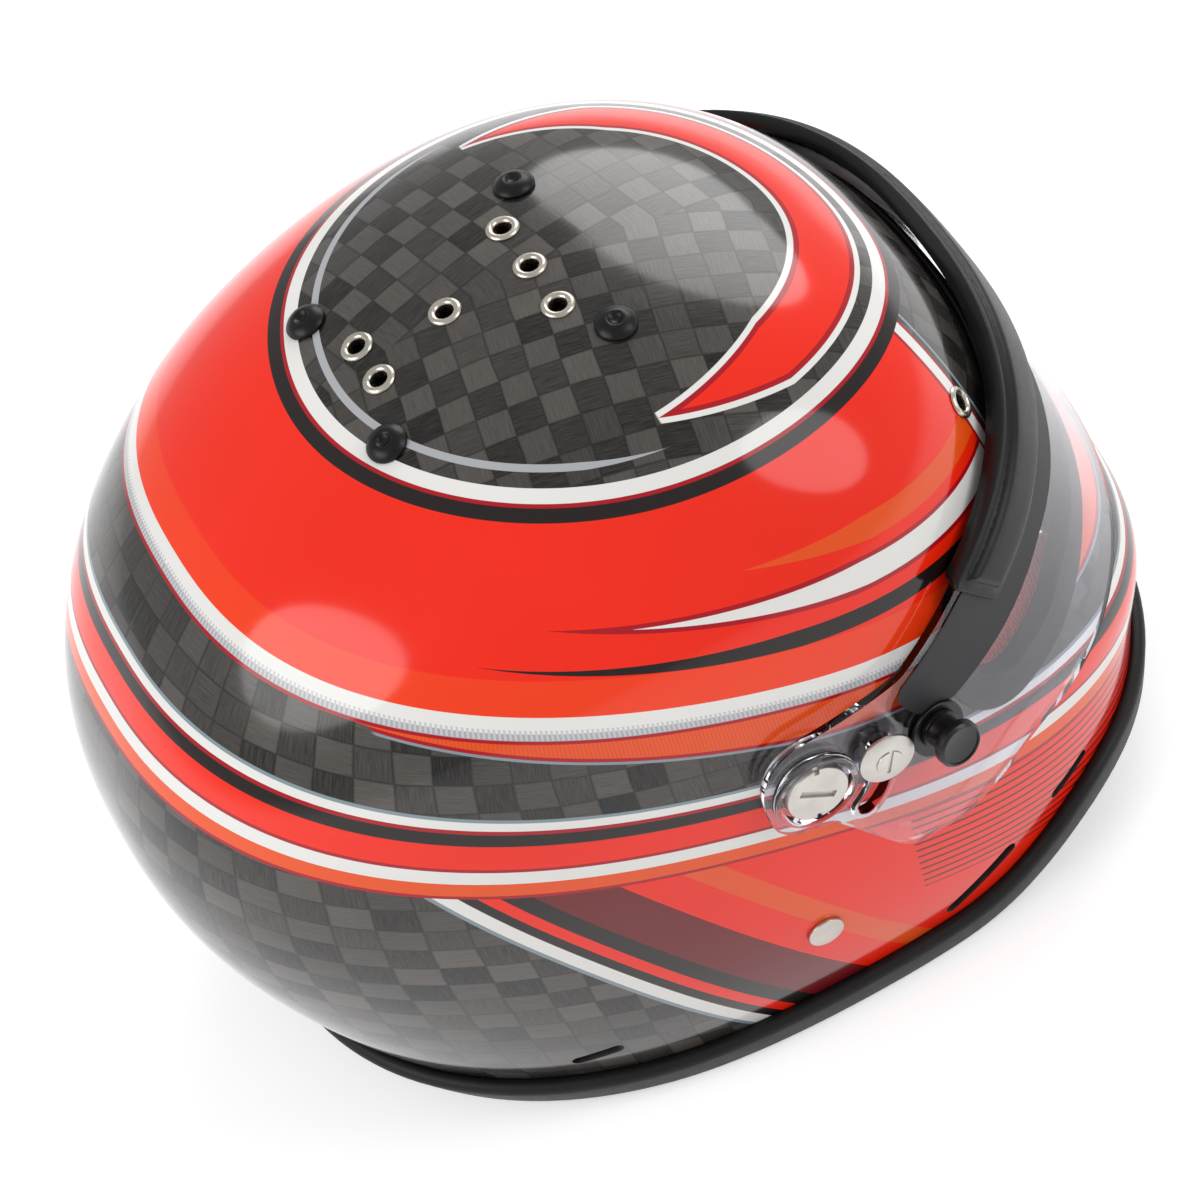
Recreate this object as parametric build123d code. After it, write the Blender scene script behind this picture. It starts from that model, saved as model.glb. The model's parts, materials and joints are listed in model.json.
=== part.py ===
from build123d import *
from math import atan2, cos, degrees, exp, hypot, radians, sin
import os

# A full-face car racing helmet, in millimetres. +Z is up, the wearer looks along -Y, and the wearer's right
# side is -X. The origin is on the surface that the helmet stands on, straight below the visor's pivot axis.

# The shell's form. It is drawn about the pivot axis, which runs across the helmet from side to side.
HALF_WIDTH = 126.0
PIVOT_HEIGHT = 129.5
BACK_REACH = 182.9
WALL = 3.0
# Reach from the pivot axis every 30 degrees, from straight down through the front and the crown to the back.
REACH_SHARES = [1.004, 1.147, 0.933, 0.632, 0.685, 0.640, 0.617, 0.671, 0.846, 1.044, 1.000, 1.090]
REACH_BLEND = 9.0
# How squarely the form turns towards the sides: below, in front, at the crown and at the back.
FULLNESS = [2.98, 2.16, 2.73, 2.29]
FULLNESS_BLEND = 2.0
# The moulded ridge along the chin bar, under the visor's lower edge.
CHIN_RIDGE = 8.5
RIDGE_ANGLE = -23.0
RIDGE_SPREAD = 6.5
RIDGE_FADE = 6.0

# Clearances: between still pieces, between curved faces, under turning pieces, and round a shaft.
SEAT = 0.1
SOFT_GAP = 0.4
RUNNING_GAP = 0.3
SHAFT_GAP = 0.06
OVERRUN = 250.0
PROBE = 0.01

# The lower edge: level at the chin, down a slope, flat where the helmet stands, and up a little at the tail.
CHIN_LIFT = 22.0
CHIN_EDGE_END = -92.0
STAND_FRONT = -48.0
STAND_BACK = 62.0
TAIL_LIFT = 9.0
TAIL_EDGE_START = 175.0
EDGE_ROUND = 60.0
TAIL_ROUND = 180.0
TRIM_PROUD = 5.0
TRIM_LIP = 2.5
TRIM_HEIGHT = 15.0
TRIM_SOLE = 5.0
TRIM_ROUND = 3.0

# Side outlines. Each row is how far a corner lies behind and above the pivot axis, and its rounding, all as
# shares of the outline's own size.
EYEPORT_REACH = 155.0
EYEPORT_SHARES = [
    (-1.300, -0.070, 0.01), (-0.760, -0.085, 0.25), (-0.580, -0.118, 0.30), (-0.375, -0.125, 0.11),
    (-0.378, 0.135, 0.13), (-0.720, 0.215, 0.30), (-1.300, 0.250, 0.01)]
GASKET_PROUD = 2.1
GASKET_LIP = 2.2
GASKET_COVER = 7.0
GASKET_OVERHANG = 2.5
GASKET_ROUND = 1.0

VISOR_REACH = 160.0
VISOR_FRONT_GAP = 5.0
VISOR_SIDE_GAP = 3.0
VISOR_THICK = 2.8
VISOR_SHARES = [
    (-1.250, 0.382, 0.01), (-0.740, 0.302, 0.30), (-0.388, 0.200, 0.20), (-0.225, 0.130, 0.09),
    (0.100, 0.122, 0.106), (0.097, -0.088, 0.07), (-0.019, -0.119, 0.075), (-0.144, -0.309, 0.075),
    (-0.275, -0.322, 0.088), (-0.469, -0.247, 0.38), (-1.250, -0.147, 0.01)]
SEAL_SHARES = [
    (-1.250, 0.402, 0.01), (-0.735, 0.322, 0.30), (-0.382, 0.220, 0.01), (-0.462, 0.105, 0.01),
    (-0.700, 0.159, 0.20), (-1.250, 0.176, 0.01)]
SEAL_PROUD = 2.2
SEAL_BEAD_PROUD = 4.4
SEAL_LIP = 0.5
SEAL_BEAD_INSET = 3.0
SEAL_ROUND = 0.9
BEAD_ROUND = 3.0
FILM_SHARES = [
    (-1.250, 0.300, 0.01), (-0.740, 0.260, 0.20), (-0.394, 0.183, 0.20), (-0.197, 0.100, 0.03),
    (-0.235, 0.014, 0.06), (-0.311, -0.006, 0.08), (-0.462, 0.026, 0.20), (-0.617, 0.068, 0.20),
    (-1.250, 0.085, 0.01)]
FILM_THICK = 0.3

# The visor's pivot, and the stop that its curved slot runs on.
SIDES = (-1, 1)
OPENING_ANGLE = 50.0
SLOT_SPARE_ANGLE = 4.0
PIVOT_HEAD_RADIUS = 10.0
PIVOT_HEAD_THICK = 2.4
PIVOT_BOSS_RADIUS = 10.5
SPIGOT_RADIUS = 6.0
PIVOT_SHANK_RADIUS = 5.0
PIVOT_SCREW_RADIUS = 2.5
PIVOT_NUT_RADIUS = 8.0
PIVOT_NUT_THICK = 2.4
COIN_SLOT_LENGTH = 12.5
COIN_SLOT_WIDTH = 2.4
COIN_SLOT_DEPTH = 1.2
HEAD_NOTCH = 1.6
PIVOT_RIM_RADIUS = 14.0
PIVOT_RIM_WALL = 2.4
PIVOT_RIM_PROUD = 2.2
STOP_RADIUS = 23.0
STOP_SHANK_RADIUS = 3.0
SLOT_RIM_WALL = 1.8
SLOT_RIM_PROUD = 1.0
STOP_HEAD_RADIUS = 9.0
STOP_HEAD_THICK = 2.8
STOP_WASHER_RADIUS = 7.6
STOP_WASHER_THICK = 1.4
STOP_INSET_RADIUS = 4.3
STOP_INSET_DEPTH = 1.2
STOP_NUT_RADIUS = 5.5
STOP_NUT_THICK = 3.0

# The tear-off post on the visor, an off-centre knob that turns on its screw.
POST_SHARES = (-0.262, -0.042)
POST_WASHER_RADIUS = 9.5
POST_WASHER_THICK = 1.6
POST_NECK_RADIUS = 5.5
POST_HEAD_RADIUS = 7.6
POST_HEAD_THICK = 4.2
POST_LENGTH = 13.0
POST_THROW = 1.0
POST_SCREW_RADIUS = 2.0
POST_SCREW_LENGTH = 10.0
POST_SCREW_HEAD_RADIUS = 4.0
POST_INNER_WASHER_THICK = 1.8
POST_INNER_SEAT = 0.5

# Eyelets, plugs and slots through the shell.
EYELET_RADIUS = 5.3
EYELET_BORE_RADIUS = 2.75
EYELET_BARREL_WALL = 0.8
EYELET_FLANGE = 1.1
CROWN_EYELETS = [(-19.4, 0.2), (0.0, 0.2), (19.4, 0.2), (0.0, 28.9), (-8.1, 55.8), (8.1, 55.8)]
BROW_EYELET_Y = -93.9
BROW_EYELET_Z = 181.6
PLUG_RADIUS = 6.5
PLUG_RISE = 3.2
PLUG_STEM_RADIUS = 3.5
PLUG_DIMPLE_RADIUS = 2.6
PLUG_PLACES = [(-35.4, -10.8), (35.4, -10.8), (-30.0, 64.0), (30.0, 64.0)]
SIDE_SLOTS = [((-57.0, 33.0), (-34.0, 21.5), 5.0), ((-91.0, 44.5), (-78.0, 41.5), 4.0),
              ((81.0, 33.5), (92.0, 31.0), 5.0)]

# The liners.
LINER_SHARES = [
    (-1.300, 0.900, 0.01), (-1.300, 0.340, 0.01), (-0.740, 0.290, 0.20), (-0.300, 0.200, 0.15),
    (-0.300, -0.195, 0.04), (0.140, -0.195, 0.04), (0.170, -0.530, 0.06), (1.500, -0.530, 0.01),
    (1.500, 0.900, 0.01)]
LINER_SPLIT_SHARE = 0.215
CAVITY_HALF_WIDTH = 85.0
CAVITY_HALF_LENGTH = 104.0
CAVITY_RISE = 94.0
CAVITY_Y = 6.0
CAVITY_Z = 118.0
VENT_RADIUS = 4.0
CROWN_PAD_THICK = 9.0
CROWN_PAD_INSET = 5.0
CHEEK_SHARES = [
    (-0.040, -0.720, 0.05), (-0.290, -0.710, 0.12), (-0.600, -0.560, 0.06), (-0.650, -0.440, 0.06),
    (-0.650, -0.225, 0.01), (-0.735, -0.215, 0.02), (-0.745, -0.105, 0.04), (-0.580, -0.125, 0.10),
    (-0.315, -0.125, 0.03), (-0.315, -0.215, 0.03), (-0.040, -0.215, 0.05)]
CHEEK_INNER = 64.0
CHEEK_ROUND = 7.0
CHIN_PAD_SHARES = [
    (-1.300, -0.235, 0.01), (-0.653, -0.235, 0.02), (-0.653, -0.560, 0.03), (-1.300, -0.560, 0.01)]
CHIN_PAD_THICK = 21.0
NECK_SHARES = [
    (0.165, -0.800, 0.01), (0.165, -0.545, 0.04), (1.500, -0.545, 0.01), (1.500, -0.800, 0.01)]
NECK_HALF_WIDTH = 78.0
NECK_HALF_LENGTH = 100.0
NECK_Y = 14.0

# The chin strap. Each end is bolted between the shell and a nut, and lies inside the neck opening.
ANCHOR_Y = 8.9
ANCHOR_Z = 53.4
ANCHOR_DISC_RADIUS = 6.0
ANCHOR_DISC_THICK = 1.4
ANCHOR_SHANK_RADIUS = 3.0
ANCHOR_PLATE_WIDTH = 22.0
ANCHOR_PLATE_HEIGHT = 28.0
ANCHOR_PLATE_THICK = 2.0
ANCHOR_PLATE_SEAT = 0.9
ANCHOR_NUT_RADIUS = 5.5
ANCHOR_NUT_THICK = 3.0
STRAP_WIDTH = 22.0
STRAP_THICK = 1.6
STRAP_SEAT = 0.3
STRAP_ABOVE = 11.0
STRAP_BELOW = 15.0
STRAP_REST = 2.4
STRAP_KNEE_X = 94.0
STRAP_KNEE_Z = 13.0
STRAP_FLOOR_X = 66.0
STRAP_FOLD_X = 16.0
STRAP_FOLD_RISE = 9.0
STRAP_TAIL_X = 44.0
STRAP_TAIL_RISE = 5.5
STRAP_BEND = 14.0
RING_WIRE_RADIUS = 1.75
RING_SPACING = 4.2
RING_X = 52.0
RING_SPAN = 27.0
RING_DEPTH = 17.0
RING_CORNER = 9.0
RING_BAR_CORNER = 3.0
RING_REST = 7.4
LOOP_TAIL = 15.0


def blend(angle, values, sharpness):
    """A smooth value at an angle, from values spread evenly round a circle that starts straight down."""
    step = 360 / len(values)
    weights = [exp(sharpness * cos(radians(angle + 90 - place * step))) for place in range(len(values))]
    return sum(weight * value for weight, value in zip(weights, values)) / sum(weights)


class Dome:
    """A skin that follows the helmet's form at one stand-off from the shell's outer face."""

    SECTION_ANGLES = [-90, -80, -70, -60, -50] + list(range(-42, 18, 4)) + list(range(20, 270, 10))
    STATION_ANGLES = [87 * step / 9 for step in range(-9, 10)]
    STATION_POWER = 2.3

    def __init__(self, stand_off, side_gap=None):
        self.stand_off = stand_off
        self.half_width = HALF_WIDTH + (stand_off if side_gap is None else side_gap)

    def power(self, angle):
        return blend(angle, FULLNESS, FULLNESS_BLEND)

    def radius(self, angle, share):
        """Distance from the pivot axis at an angle above the front, share of the way out to the side."""
        ridge = CHIN_RIDGE * exp(-((angle - RIDGE_ANGLE) / RIDGE_SPREAD) ** 2) * (1 - abs(share) ** RIDGE_FADE)
        reach = BACK_REACH * blend(angle, REACH_SHARES, REACH_BLEND) + self.stand_off + ridge
        power = self.power(angle)
        return reach * (1 - abs(share) ** power) ** (1 / power)

    def solid(self):
        """The filled form, lofted from side to side."""
        count = len(self.SECTION_ANGLES)
        sections = []
        for station in self.STATION_ANGLES:
            narrow = 1 - cos(radians(station)) ** self.STATION_POWER
            share = narrow ** (1 / self.STATION_POWER) * (1 if station > 0 else -1)
            points = []
            for angle in self.SECTION_ANGLES:
                radius = self.radius(angle, share)
                points.append(Vector(self.half_width * share, -radius * cos(radians(angle)),
                                     PIVOT_HEIGHT + radius * sin(radians(angle))))
            knots = [place / count for place in range(count + 1)]
            sections.append(Wire([Edge.make_spline(points, periodic=True, parameters=knots)]))
        return Solid.make_loft(sections)

    def angle_of(self, y, z):
        return degrees(atan2(z - PIVOT_HEIGHT, -y))

    def side(self, y, z):
        """How far out the skin is at a place in the side view."""
        angle = self.angle_of(y, z)
        low = 0.0
        high = 1.0
        for _ in range(40):
            share = (low + high) / 2
            if self.radius(angle, share) > hypot(y, z - PIVOT_HEIGHT):
                low = share
            else:
                high = share
        return self.half_width * low

    def crown(self, x, y):
        """How high the skin is at a place seen from above."""
        low = PIVOT_HEIGHT
        high = PIVOT_HEIGHT + BACK_REACH
        for _ in range(40):
            height = (low + high) / 2
            inside = self.radius(self.angle_of(y, height), x / self.half_width) > hypot(y, height - PIVOT_HEIGHT)
            low, high = (height, high) if inside else (low, height)
        return low

    def side_plane(self, y, z, side):
        """A plane that lies on the skin's side, with its own Z outwards and its own Y upwards."""
        step = PROBE * self.half_width
        along = Vector(side * (self.side(y + step, z) - self.side(y - step, z)), 2 * step, 0)
        upward = Vector(side * (self.side(y, z + step) - self.side(y, z - step)), 0, 2 * step)
        outward = along.cross(upward).normalized() * side
        across = upward.cross(outward)
        return Plane(origin=(side * self.side(y, z), y, z), x_dir=across, z_dir=outward)

    def crown_plane(self, x, y):
        """A plane that lies on the skin's top, with its own Z outwards."""
        step = PROBE * self.half_width
        along_x = Vector(2 * step, 0, self.crown(x + step, y) - self.crown(x - step, y))
        along_y = Vector(0, 2 * step, self.crown(x, y + step) - self.crown(x, y - step))
        return Plane(origin=(x, y, self.crown(x, y)), x_dir=along_x, z_dir=along_x.cross(along_y))


def side_outline(shares, size):
    """A rounded outline in the side view, about the pivot axis."""
    corners = [(u * size, PIVOT_HEIGHT + v * size) for u, v, _ in shares]
    rounding = [share * size for _, _, share in shares]
    return make_face(FilletPolyline(*corners, radius=rounding, close=True))


def plate(shares, size, grow=0):
    """A slab right across the helmet with a side outline, made larger all round by grow."""
    face = side_outline(shares, size)
    if grow:
        face = offset(face, amount=grow)
    return extrude(Plane.YZ * face, amount=OVERRUN, both=True)


def rounded(ring, radius):
    """A curved piece with the edges of its largest face, the outer one, rounded."""
    outside = ring.faces().sort_by(SortBy.AREA)[-1]
    return fillet(outside.edges(), radius)


def under_edge(lift):
    """Everything below the lower edge line, with the line raised by lift."""
    far = OVERRUN
    corners = [(-far, CHIN_LIFT + lift), (CHIN_EDGE_END, CHIN_LIFT + lift), (STAND_FRONT, lift),
               (STAND_BACK, lift), (TAIL_EDGE_START, TAIL_LIFT + lift), (far, TAIL_LIFT + lift),
               (far, -far), (-far, -far)]
    rounding = [0, EDGE_ROUND, EDGE_ROUND, TAIL_ROUND, TAIL_ROUND, 0, 0, 0]
    face = make_face(FilletPolyline(*corners, radius=rounding, close=True))
    return extrude(Plane.YZ * face, amount=far, both=True)


def peg(radius, start, end):
    """A round bar along its plane's Z."""
    return Pos(0, 0, start) * Cylinder(radius, end - start, align=(Align.CENTER, Align.CENTER, Align.MIN))


def side_axis(y, z, side):
    """A plane square to the pivot axis at the middle of the helmet, with its Z out to one side."""
    return Plane(origin=(0, y, z), x_dir=(0, side, 0), z_dir=(side, 0, 0))


def pair(make, *facts):
    """The right and left copies of a piece that is made for a side."""
    return [make(side, *facts) for side in SIDES]


def visor_skin(depth):
    """A skin that runs along the visor, outwards from its inner face by depth."""
    return Dome(VISOR_FRONT_GAP + depth, VISOR_SIDE_GAP + depth)


outer_skin = Dome(0)
inner_skin = Dome(-WALL)
visor_inner = visor_skin(0)
visor_outer = visor_skin(VISOR_THICK)
outer_form = outer_skin.solid()
inner_form = inner_skin.solid()
visor_inner_form = visor_inner.solid()
visor_outer_form = visor_outer.solid()

POST_Y = POST_SHARES[0] * VISOR_REACH
POST_Z = PIVOT_HEIGHT + POST_SHARES[1] * VISOR_REACH
VISOR_FACE = HALF_WIDTH + VISOR_SIDE_GAP + VISOR_THICK
SPIGOT_END = VISOR_FACE + RUNNING_GAP
STOP_FACE = VISOR_FACE + SLOT_RIM_PROUD + RUNNING_GAP
EYELET_BARREL_RADIUS = EYELET_BORE_RADIUS + EYELET_BARREL_WALL


def slot_outline(half_width):
    """The visor's curved slot, which runs round the pivot from the stop screw's rest place."""
    start = 180 - SLOT_SPARE_ANGLE
    arc = CenterArc((0, PIVOT_HEIGHT), STOP_RADIUS, start, OPENING_ANGLE + 2 * SLOT_SPARE_ANGLE)
    return SlotArc(arc.edge(), 2 * half_width)


def side_slab(face, side, start, end):
    """A side-view face thickened between two distances from the middle plane."""
    slab = extrude(Plane.YZ * face, amount=end - start)
    return Pos(start if side > 0 else -end, 0, 0) * slab


def outer_shell():
    shell = outer_form - inner_form - under_edge(TRIM_SOLE) - plate(EYEPORT_SHARES, EYEPORT_REACH)
    holes = []
    for side in SIDES:
        pivot = side_axis(0, PIVOT_HEIGHT, side)
        stop = side_axis(-STOP_RADIUS, PIVOT_HEIGHT, side)
        holes.append(pivot * peg(PIVOT_SHANK_RADIUS + SEAT, HALF_WIDTH / 2, OVERRUN))
        holes.append(stop * peg(STOP_SHANK_RADIUS + SEAT, HALF_WIDTH / 2, OVERRUN))
        anchor = outer_skin.side_plane(ANCHOR_Y, ANCHOR_Z, side)
        holes.append(anchor * peg(ANCHOR_SHANK_RADIUS + SEAT, -3 * WALL, WALL))
        brow = outer_skin.side_plane(BROW_EYELET_Y, BROW_EYELET_Z, side)
        holes.append(brow * peg(EYELET_BARREL_RADIUS + SEAT, -3 * WALL, WALL))
    for x, y in CROWN_EYELETS:
        holes.append(outer_skin.crown_plane(x, y) * peg(EYELET_BARREL_RADIUS + SEAT, -3 * WALL, WALL))
    for x, y in PLUG_PLACES:
        holes.append(outer_skin.crown_plane(x, y) * peg(PLUG_STEM_RADIUS + SEAT, -3 * WALL, WALL))
    for start, end, width in SIDE_SLOTS:
        slot = Plane.YZ * SlotArc(Line(start, end).edge(), width)
        holes.append(extrude(slot, amount=OVERRUN, both=True))
    return shell - holes


def bottom_edge_trim(shell):
    """A rubber channel pressed over the shell's lower edge."""
    ring = (Dome(TRIM_PROUD).solid() - Dome(-WALL - TRIM_LIP).solid()) & under_edge(TRIM_HEIGHT)
    ring = ring - under_edge(0)
    return rounded(ring, TRIM_ROUND) - shell


def eyeport_gasket(shell):
    """A rubber channel pressed over the edge of the eye opening."""
    ring = Dome(GASKET_PROUD).solid() - Dome(-WALL - GASKET_LIP).solid()
    ring = ring & plate(EYEPORT_SHARES, EYEPORT_REACH, GASKET_COVER)
    ring = ring - plate(EYEPORT_SHARES, EYEPORT_REACH, -GASKET_OVERHANG)
    return rounded(ring, GASKET_ROUND) - shell


def visor():
    glass = (visor_outer_form - visor_inner_form) & plate(VISOR_SHARES, VISOR_REACH)
    rim_root = VISOR_FACE - VISOR_THICK / 2
    for side in SIDES:
        pivot = side_axis(0, PIVOT_HEIGHT, side)
        rim = peg(PIVOT_RIM_RADIUS, rim_root, VISOR_FACE + PIVOT_RIM_PROUD)
        rim = fillet(rim.edges().group_by(Axis.Z)[-1], PIVOT_RIM_WALL / 3)
        rim = rim - peg(PIVOT_RIM_RADIUS - PIVOT_RIM_WALL, rim_root, OVERRUN)
        slot_half = STOP_SHANK_RADIUS + RUNNING_GAP
        slot_rim = side_slab(slot_outline(slot_half + SLOT_RIM_WALL), side, rim_root - VISOR_THICK / 4,
                             VISOR_FACE + SLOT_RIM_PROUD)
        glass = glass + pivot * rim + slot_rim
        glass = glass - side_slab(slot_outline(slot_half), side, HALF_WIDTH / 2, OVERRUN)
        glass = glass - pivot * peg(SPIGOT_RADIUS + SHAFT_GAP, HALF_WIDTH / 2, OVERRUN)
        post = visor_outer.side_plane(POST_Y, POST_Z, side)
        glass = glass - post * peg(POST_SCREW_RADIUS + SEAT, -3 * VISOR_THICK, 3 * VISOR_THICK)
    return glass


def visor_top_seal(glass):
    """A rubber channel on the visor's upper edge, with a raised bead along its middle."""
    channel = visor_skin(VISOR_THICK + SEAL_PROUD).solid() - visor_skin(-SEAL_LIP).solid()
    channel = rounded(channel & plate(SEAL_SHARES, VISOR_REACH), SEAL_ROUND)
    bead = visor_skin(VISOR_THICK + SEAL_BEAD_PROUD).solid() - visor_outer_form
    bead = rounded(bead & plate(SEAL_SHARES, VISOR_REACH, -SEAL_BEAD_INSET), BEAD_ROUND)
    return channel + bead - glass


def sun_strip():
    """A black film on the visor's outer face, below the rubber channel."""
    film = visor_skin(VISOR_THICK + SEAT + FILM_THICK).solid() - visor_skin(VISOR_THICK + SEAT).solid()
    film = (film & plate(FILM_SHARES, VISOR_REACH)) - plate(SEAL_SHARES, VISOR_REACH, SEAT)
    return film - [post_plane(side) * peg(POST_WASHER_RADIUS + SEAT, 0, POST_LENGTH) for side in SIDES]


def pivot_base(side):
    """The boss on the shell with the spigot that the visor turns on."""
    seat = HALF_WIDTH + VISOR_SIDE_GAP - RUNNING_GAP
    boss = peg(PIVOT_BOSS_RADIUS, HALF_WIDTH - WALL, seat)
    boss = side_axis(0, PIVOT_HEIGHT, side) * boss - outer_form
    shank = peg(PIVOT_SHANK_RADIUS, HALF_WIDTH - WALL - PIVOT_NUT_THICK - SOFT_GAP, seat)
    shank = shank + peg(SPIGOT_RADIUS, seat, SPIGOT_END)
    bore = peg(PIVOT_SCREW_RADIUS, HALF_WIDTH / 2, OVERRUN)
    return boss + side_axis(0, PIVOT_HEIGHT, side) * shank - side_axis(0, PIVOT_HEIGHT, side) * bore


def pivot_nut(side):
    end = HALF_WIDTH - WALL - SOFT_GAP
    nut = peg(PIVOT_NUT_RADIUS, end - PIVOT_NUT_THICK, end) - peg(PIVOT_SHANK_RADIUS, 0, OVERRUN)
    return side_axis(0, PIVOT_HEIGHT, side) * nut


def pivot_screw(side):
    """The flat silver disc with a coin slot, on its shank."""
    face = SPIGOT_END + PIVOT_HEAD_THICK
    head = peg(PIVOT_HEAD_RADIUS, SPIGOT_END, face)
    head = fillet(head.edges().group_by(Axis.Z)[-1], HEAD_NOTCH / 4)
    slot = Pos(0, 0, face) * Box(COIN_SLOT_LENGTH, COIN_SLOT_WIDTH, 2 * COIN_SLOT_DEPTH)
    head = head - Rot(0, 0, 35 * side) * slot
    for turn in (80, 260):
        notch = Pos(PIVOT_HEAD_RADIUS, 0, face) * Box(2 * HEAD_NOTCH, HEAD_NOTCH, 2 * HEAD_NOTCH)
        head = head - Rot(0, 0, turn) * notch
    return side_axis(0, PIVOT_HEIGHT, side) * (head + peg(PIVOT_SCREW_RADIUS, HALF_WIDTH - WALL, SPIGOT_END))


def stop_screw(side):
    """The domed silver disc whose shank passes through the visor's slot into the shell."""
    start = STOP_FACE + STOP_WASHER_THICK
    profile = Polyline((0, start), (STOP_HEAD_RADIUS, start), (STOP_HEAD_RADIUS, start + STOP_HEAD_THICK / 3))
    crown = ThreePointArc((STOP_HEAD_RADIUS, start + STOP_HEAD_THICK / 3),
                          (STOP_HEAD_RADIUS / 2, start + 0.85 * STOP_HEAD_THICK), (0, start + STOP_HEAD_THICK))
    close = Line((0, start + STOP_HEAD_THICK), (0, start))
    head = revolve(Plane.XZ * make_face([profile, crown, close]), Axis.Z)
    head = head - peg(STOP_INSET_RADIUS + SHAFT_GAP, start + STOP_HEAD_THICK - STOP_INSET_DEPTH, OVERRUN)
    inner = inner_skin.side(-STOP_RADIUS - STOP_NUT_RADIUS, PIVOT_HEIGHT) - SEAT
    shank = peg(STOP_SHANK_RADIUS, inner - STOP_NUT_THICK, start)
    return side_axis(-STOP_RADIUS, PIVOT_HEIGHT, side) * (head + shank)


def stop_inset(side):
    """The small slotted screw sunk in the stop's dome."""
    start = STOP_FACE + STOP_WASHER_THICK + STOP_HEAD_THICK - STOP_INSET_DEPTH
    face = start + STOP_INSET_DEPTH
    screw = peg(STOP_INSET_RADIUS, start, face)
    slot = Pos(0, 0, face) * Box(2 * STOP_INSET_RADIUS, COIN_SLOT_WIDTH / 2, STOP_INSET_DEPTH)
    return side_axis(-STOP_RADIUS, PIVOT_HEIGHT, side) * (screw - Rot(0, 0, 70) * slot)


def stop_washer(side):
    washer = peg(STOP_WASHER_RADIUS, STOP_FACE, STOP_FACE + STOP_WASHER_THICK)
    washer = washer - peg(STOP_SHANK_RADIUS, 0, OVERRUN)
    return side_axis(-STOP_RADIUS, PIVOT_HEIGHT, side) * washer


def stop_nut(side):
    end = inner_skin.side(-STOP_RADIUS - STOP_NUT_RADIUS, PIVOT_HEIGHT) - SEAT
    nut = peg(STOP_NUT_RADIUS, end - STOP_NUT_THICK, end) - peg(STOP_SHANK_RADIUS, 0, OVERRUN)
    return side_axis(-STOP_RADIUS, PIVOT_HEIGHT, side) * nut


def post_plane(side):
    return visor_outer.side_plane(POST_Y, POST_Z, side)


def tear_off_washer(side):
    washer = peg(POST_WASHER_RADIUS, SEAT, POST_WASHER_THICK)
    washer = fillet(washer.edges().group_by(Axis.Z)[-1], POST_WASHER_THICK / 3)
    return post_plane(side) * (washer - peg(POST_SCREW_RADIUS, -POST_LENGTH, POST_LENGTH))


def tear_off_inner_washer(side):
    end = -VISOR_THICK - POST_INNER_SEAT
    start = end - POST_INNER_WASHER_THICK
    washer = peg(POST_WASHER_RADIUS, start, end) - peg(POST_SCREW_RADIUS, 2 * start, 0)
    countersink = peg(POST_SCREW_HEAD_RADIUS, start - POST_INNER_WASHER_THICK,
                      start + POST_INNER_WASHER_THICK / 2)
    return post_plane(side) * (washer - countersink)


def tear_off_screw(side):
    start = -VISOR_THICK - POST_INNER_SEAT - POST_INNER_WASHER_THICK
    screw = peg(POST_SCREW_RADIUS, start, POST_SCREW_LENGTH)
    head = peg(POST_SCREW_HEAD_RADIUS, start, start + POST_INNER_WASHER_THICK / 2)
    return post_plane(side) * (screw + head)


def tear_off_post(side):
    """The knob. Its bore is off centre, so that a turn takes up the slack of the tear-offs."""
    start = POST_WASHER_THICK + RUNNING_GAP
    knob = peg(POST_NECK_RADIUS, start, POST_LENGTH)
    flare = peg(POST_NECK_RADIUS + POST_THROW, start, start + POST_WASHER_THICK)
    head = peg(POST_HEAD_RADIUS, POST_LENGTH - POST_HEAD_THICK, POST_LENGTH)
    head = chamfer(head.edges().group_by(Axis.Z)[0] + head.edges().group_by(Axis.Z)[-1], POST_HEAD_THICK / 5)
    dish = peg(POST_HEAD_RADIUS - POST_HEAD_THICK / 3, POST_LENGTH - POST_HEAD_THICK / 8, 2 * POST_LENGTH)
    knob = Pos(0, POST_THROW, 0) * (knob + flare + head - dish)
    return post_plane(side) * (knob - peg(POST_SCREW_RADIUS + SHAFT_GAP, 0, POST_SCREW_LENGTH + RUNNING_GAP))


def eyelet(place):
    """A rolled metal eyelet clenched through the shell."""
    inner = -WALL - EYELET_FLANGE
    profile = Polyline((EYELET_BORE_RADIUS, inner), (EYELET_BARREL_RADIUS, inner),
                       (EYELET_BARREL_RADIUS, SEAT), (EYELET_RADIUS, SEAT))
    roll = ThreePointArc((EYELET_RADIUS, SEAT), ((EYELET_RADIUS + EYELET_BORE_RADIUS) / 2, EYELET_FLANGE),
                         (EYELET_BORE_RADIUS, 0))
    close = Line((EYELET_BORE_RADIUS, 0), (EYELET_BORE_RADIUS, inner))
    return place * revolve(Plane.XZ * make_face([profile, roll, close]), Axis.Z)


def rubber_plug(place):
    """A domed rubber cap with a stem through the shell and a dimple in its middle."""
    profile = Polyline((0, -WALL), (PLUG_STEM_RADIUS, -WALL), (PLUG_STEM_RADIUS, SEAT), (PLUG_RADIUS, SEAT),
                       (PLUG_RADIUS, PLUG_RISE / 4))
    dome = ThreePointArc((PLUG_RADIUS, PLUG_RISE / 4), (0.72 * PLUG_RADIUS, 0.80 * PLUG_RISE),
                         (PLUG_DIMPLE_RADIUS, PLUG_RISE))
    dimple = Polyline((PLUG_DIMPLE_RADIUS, PLUG_RISE), (PLUG_DIMPLE_RADIUS / 2, 0.65 * PLUG_RISE),
                      (0, 0.65 * PLUG_RISE), (0, -WALL))
    return place * revolve(Plane.XZ * make_face([profile, dome, dimple]), Axis.Z)


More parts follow.
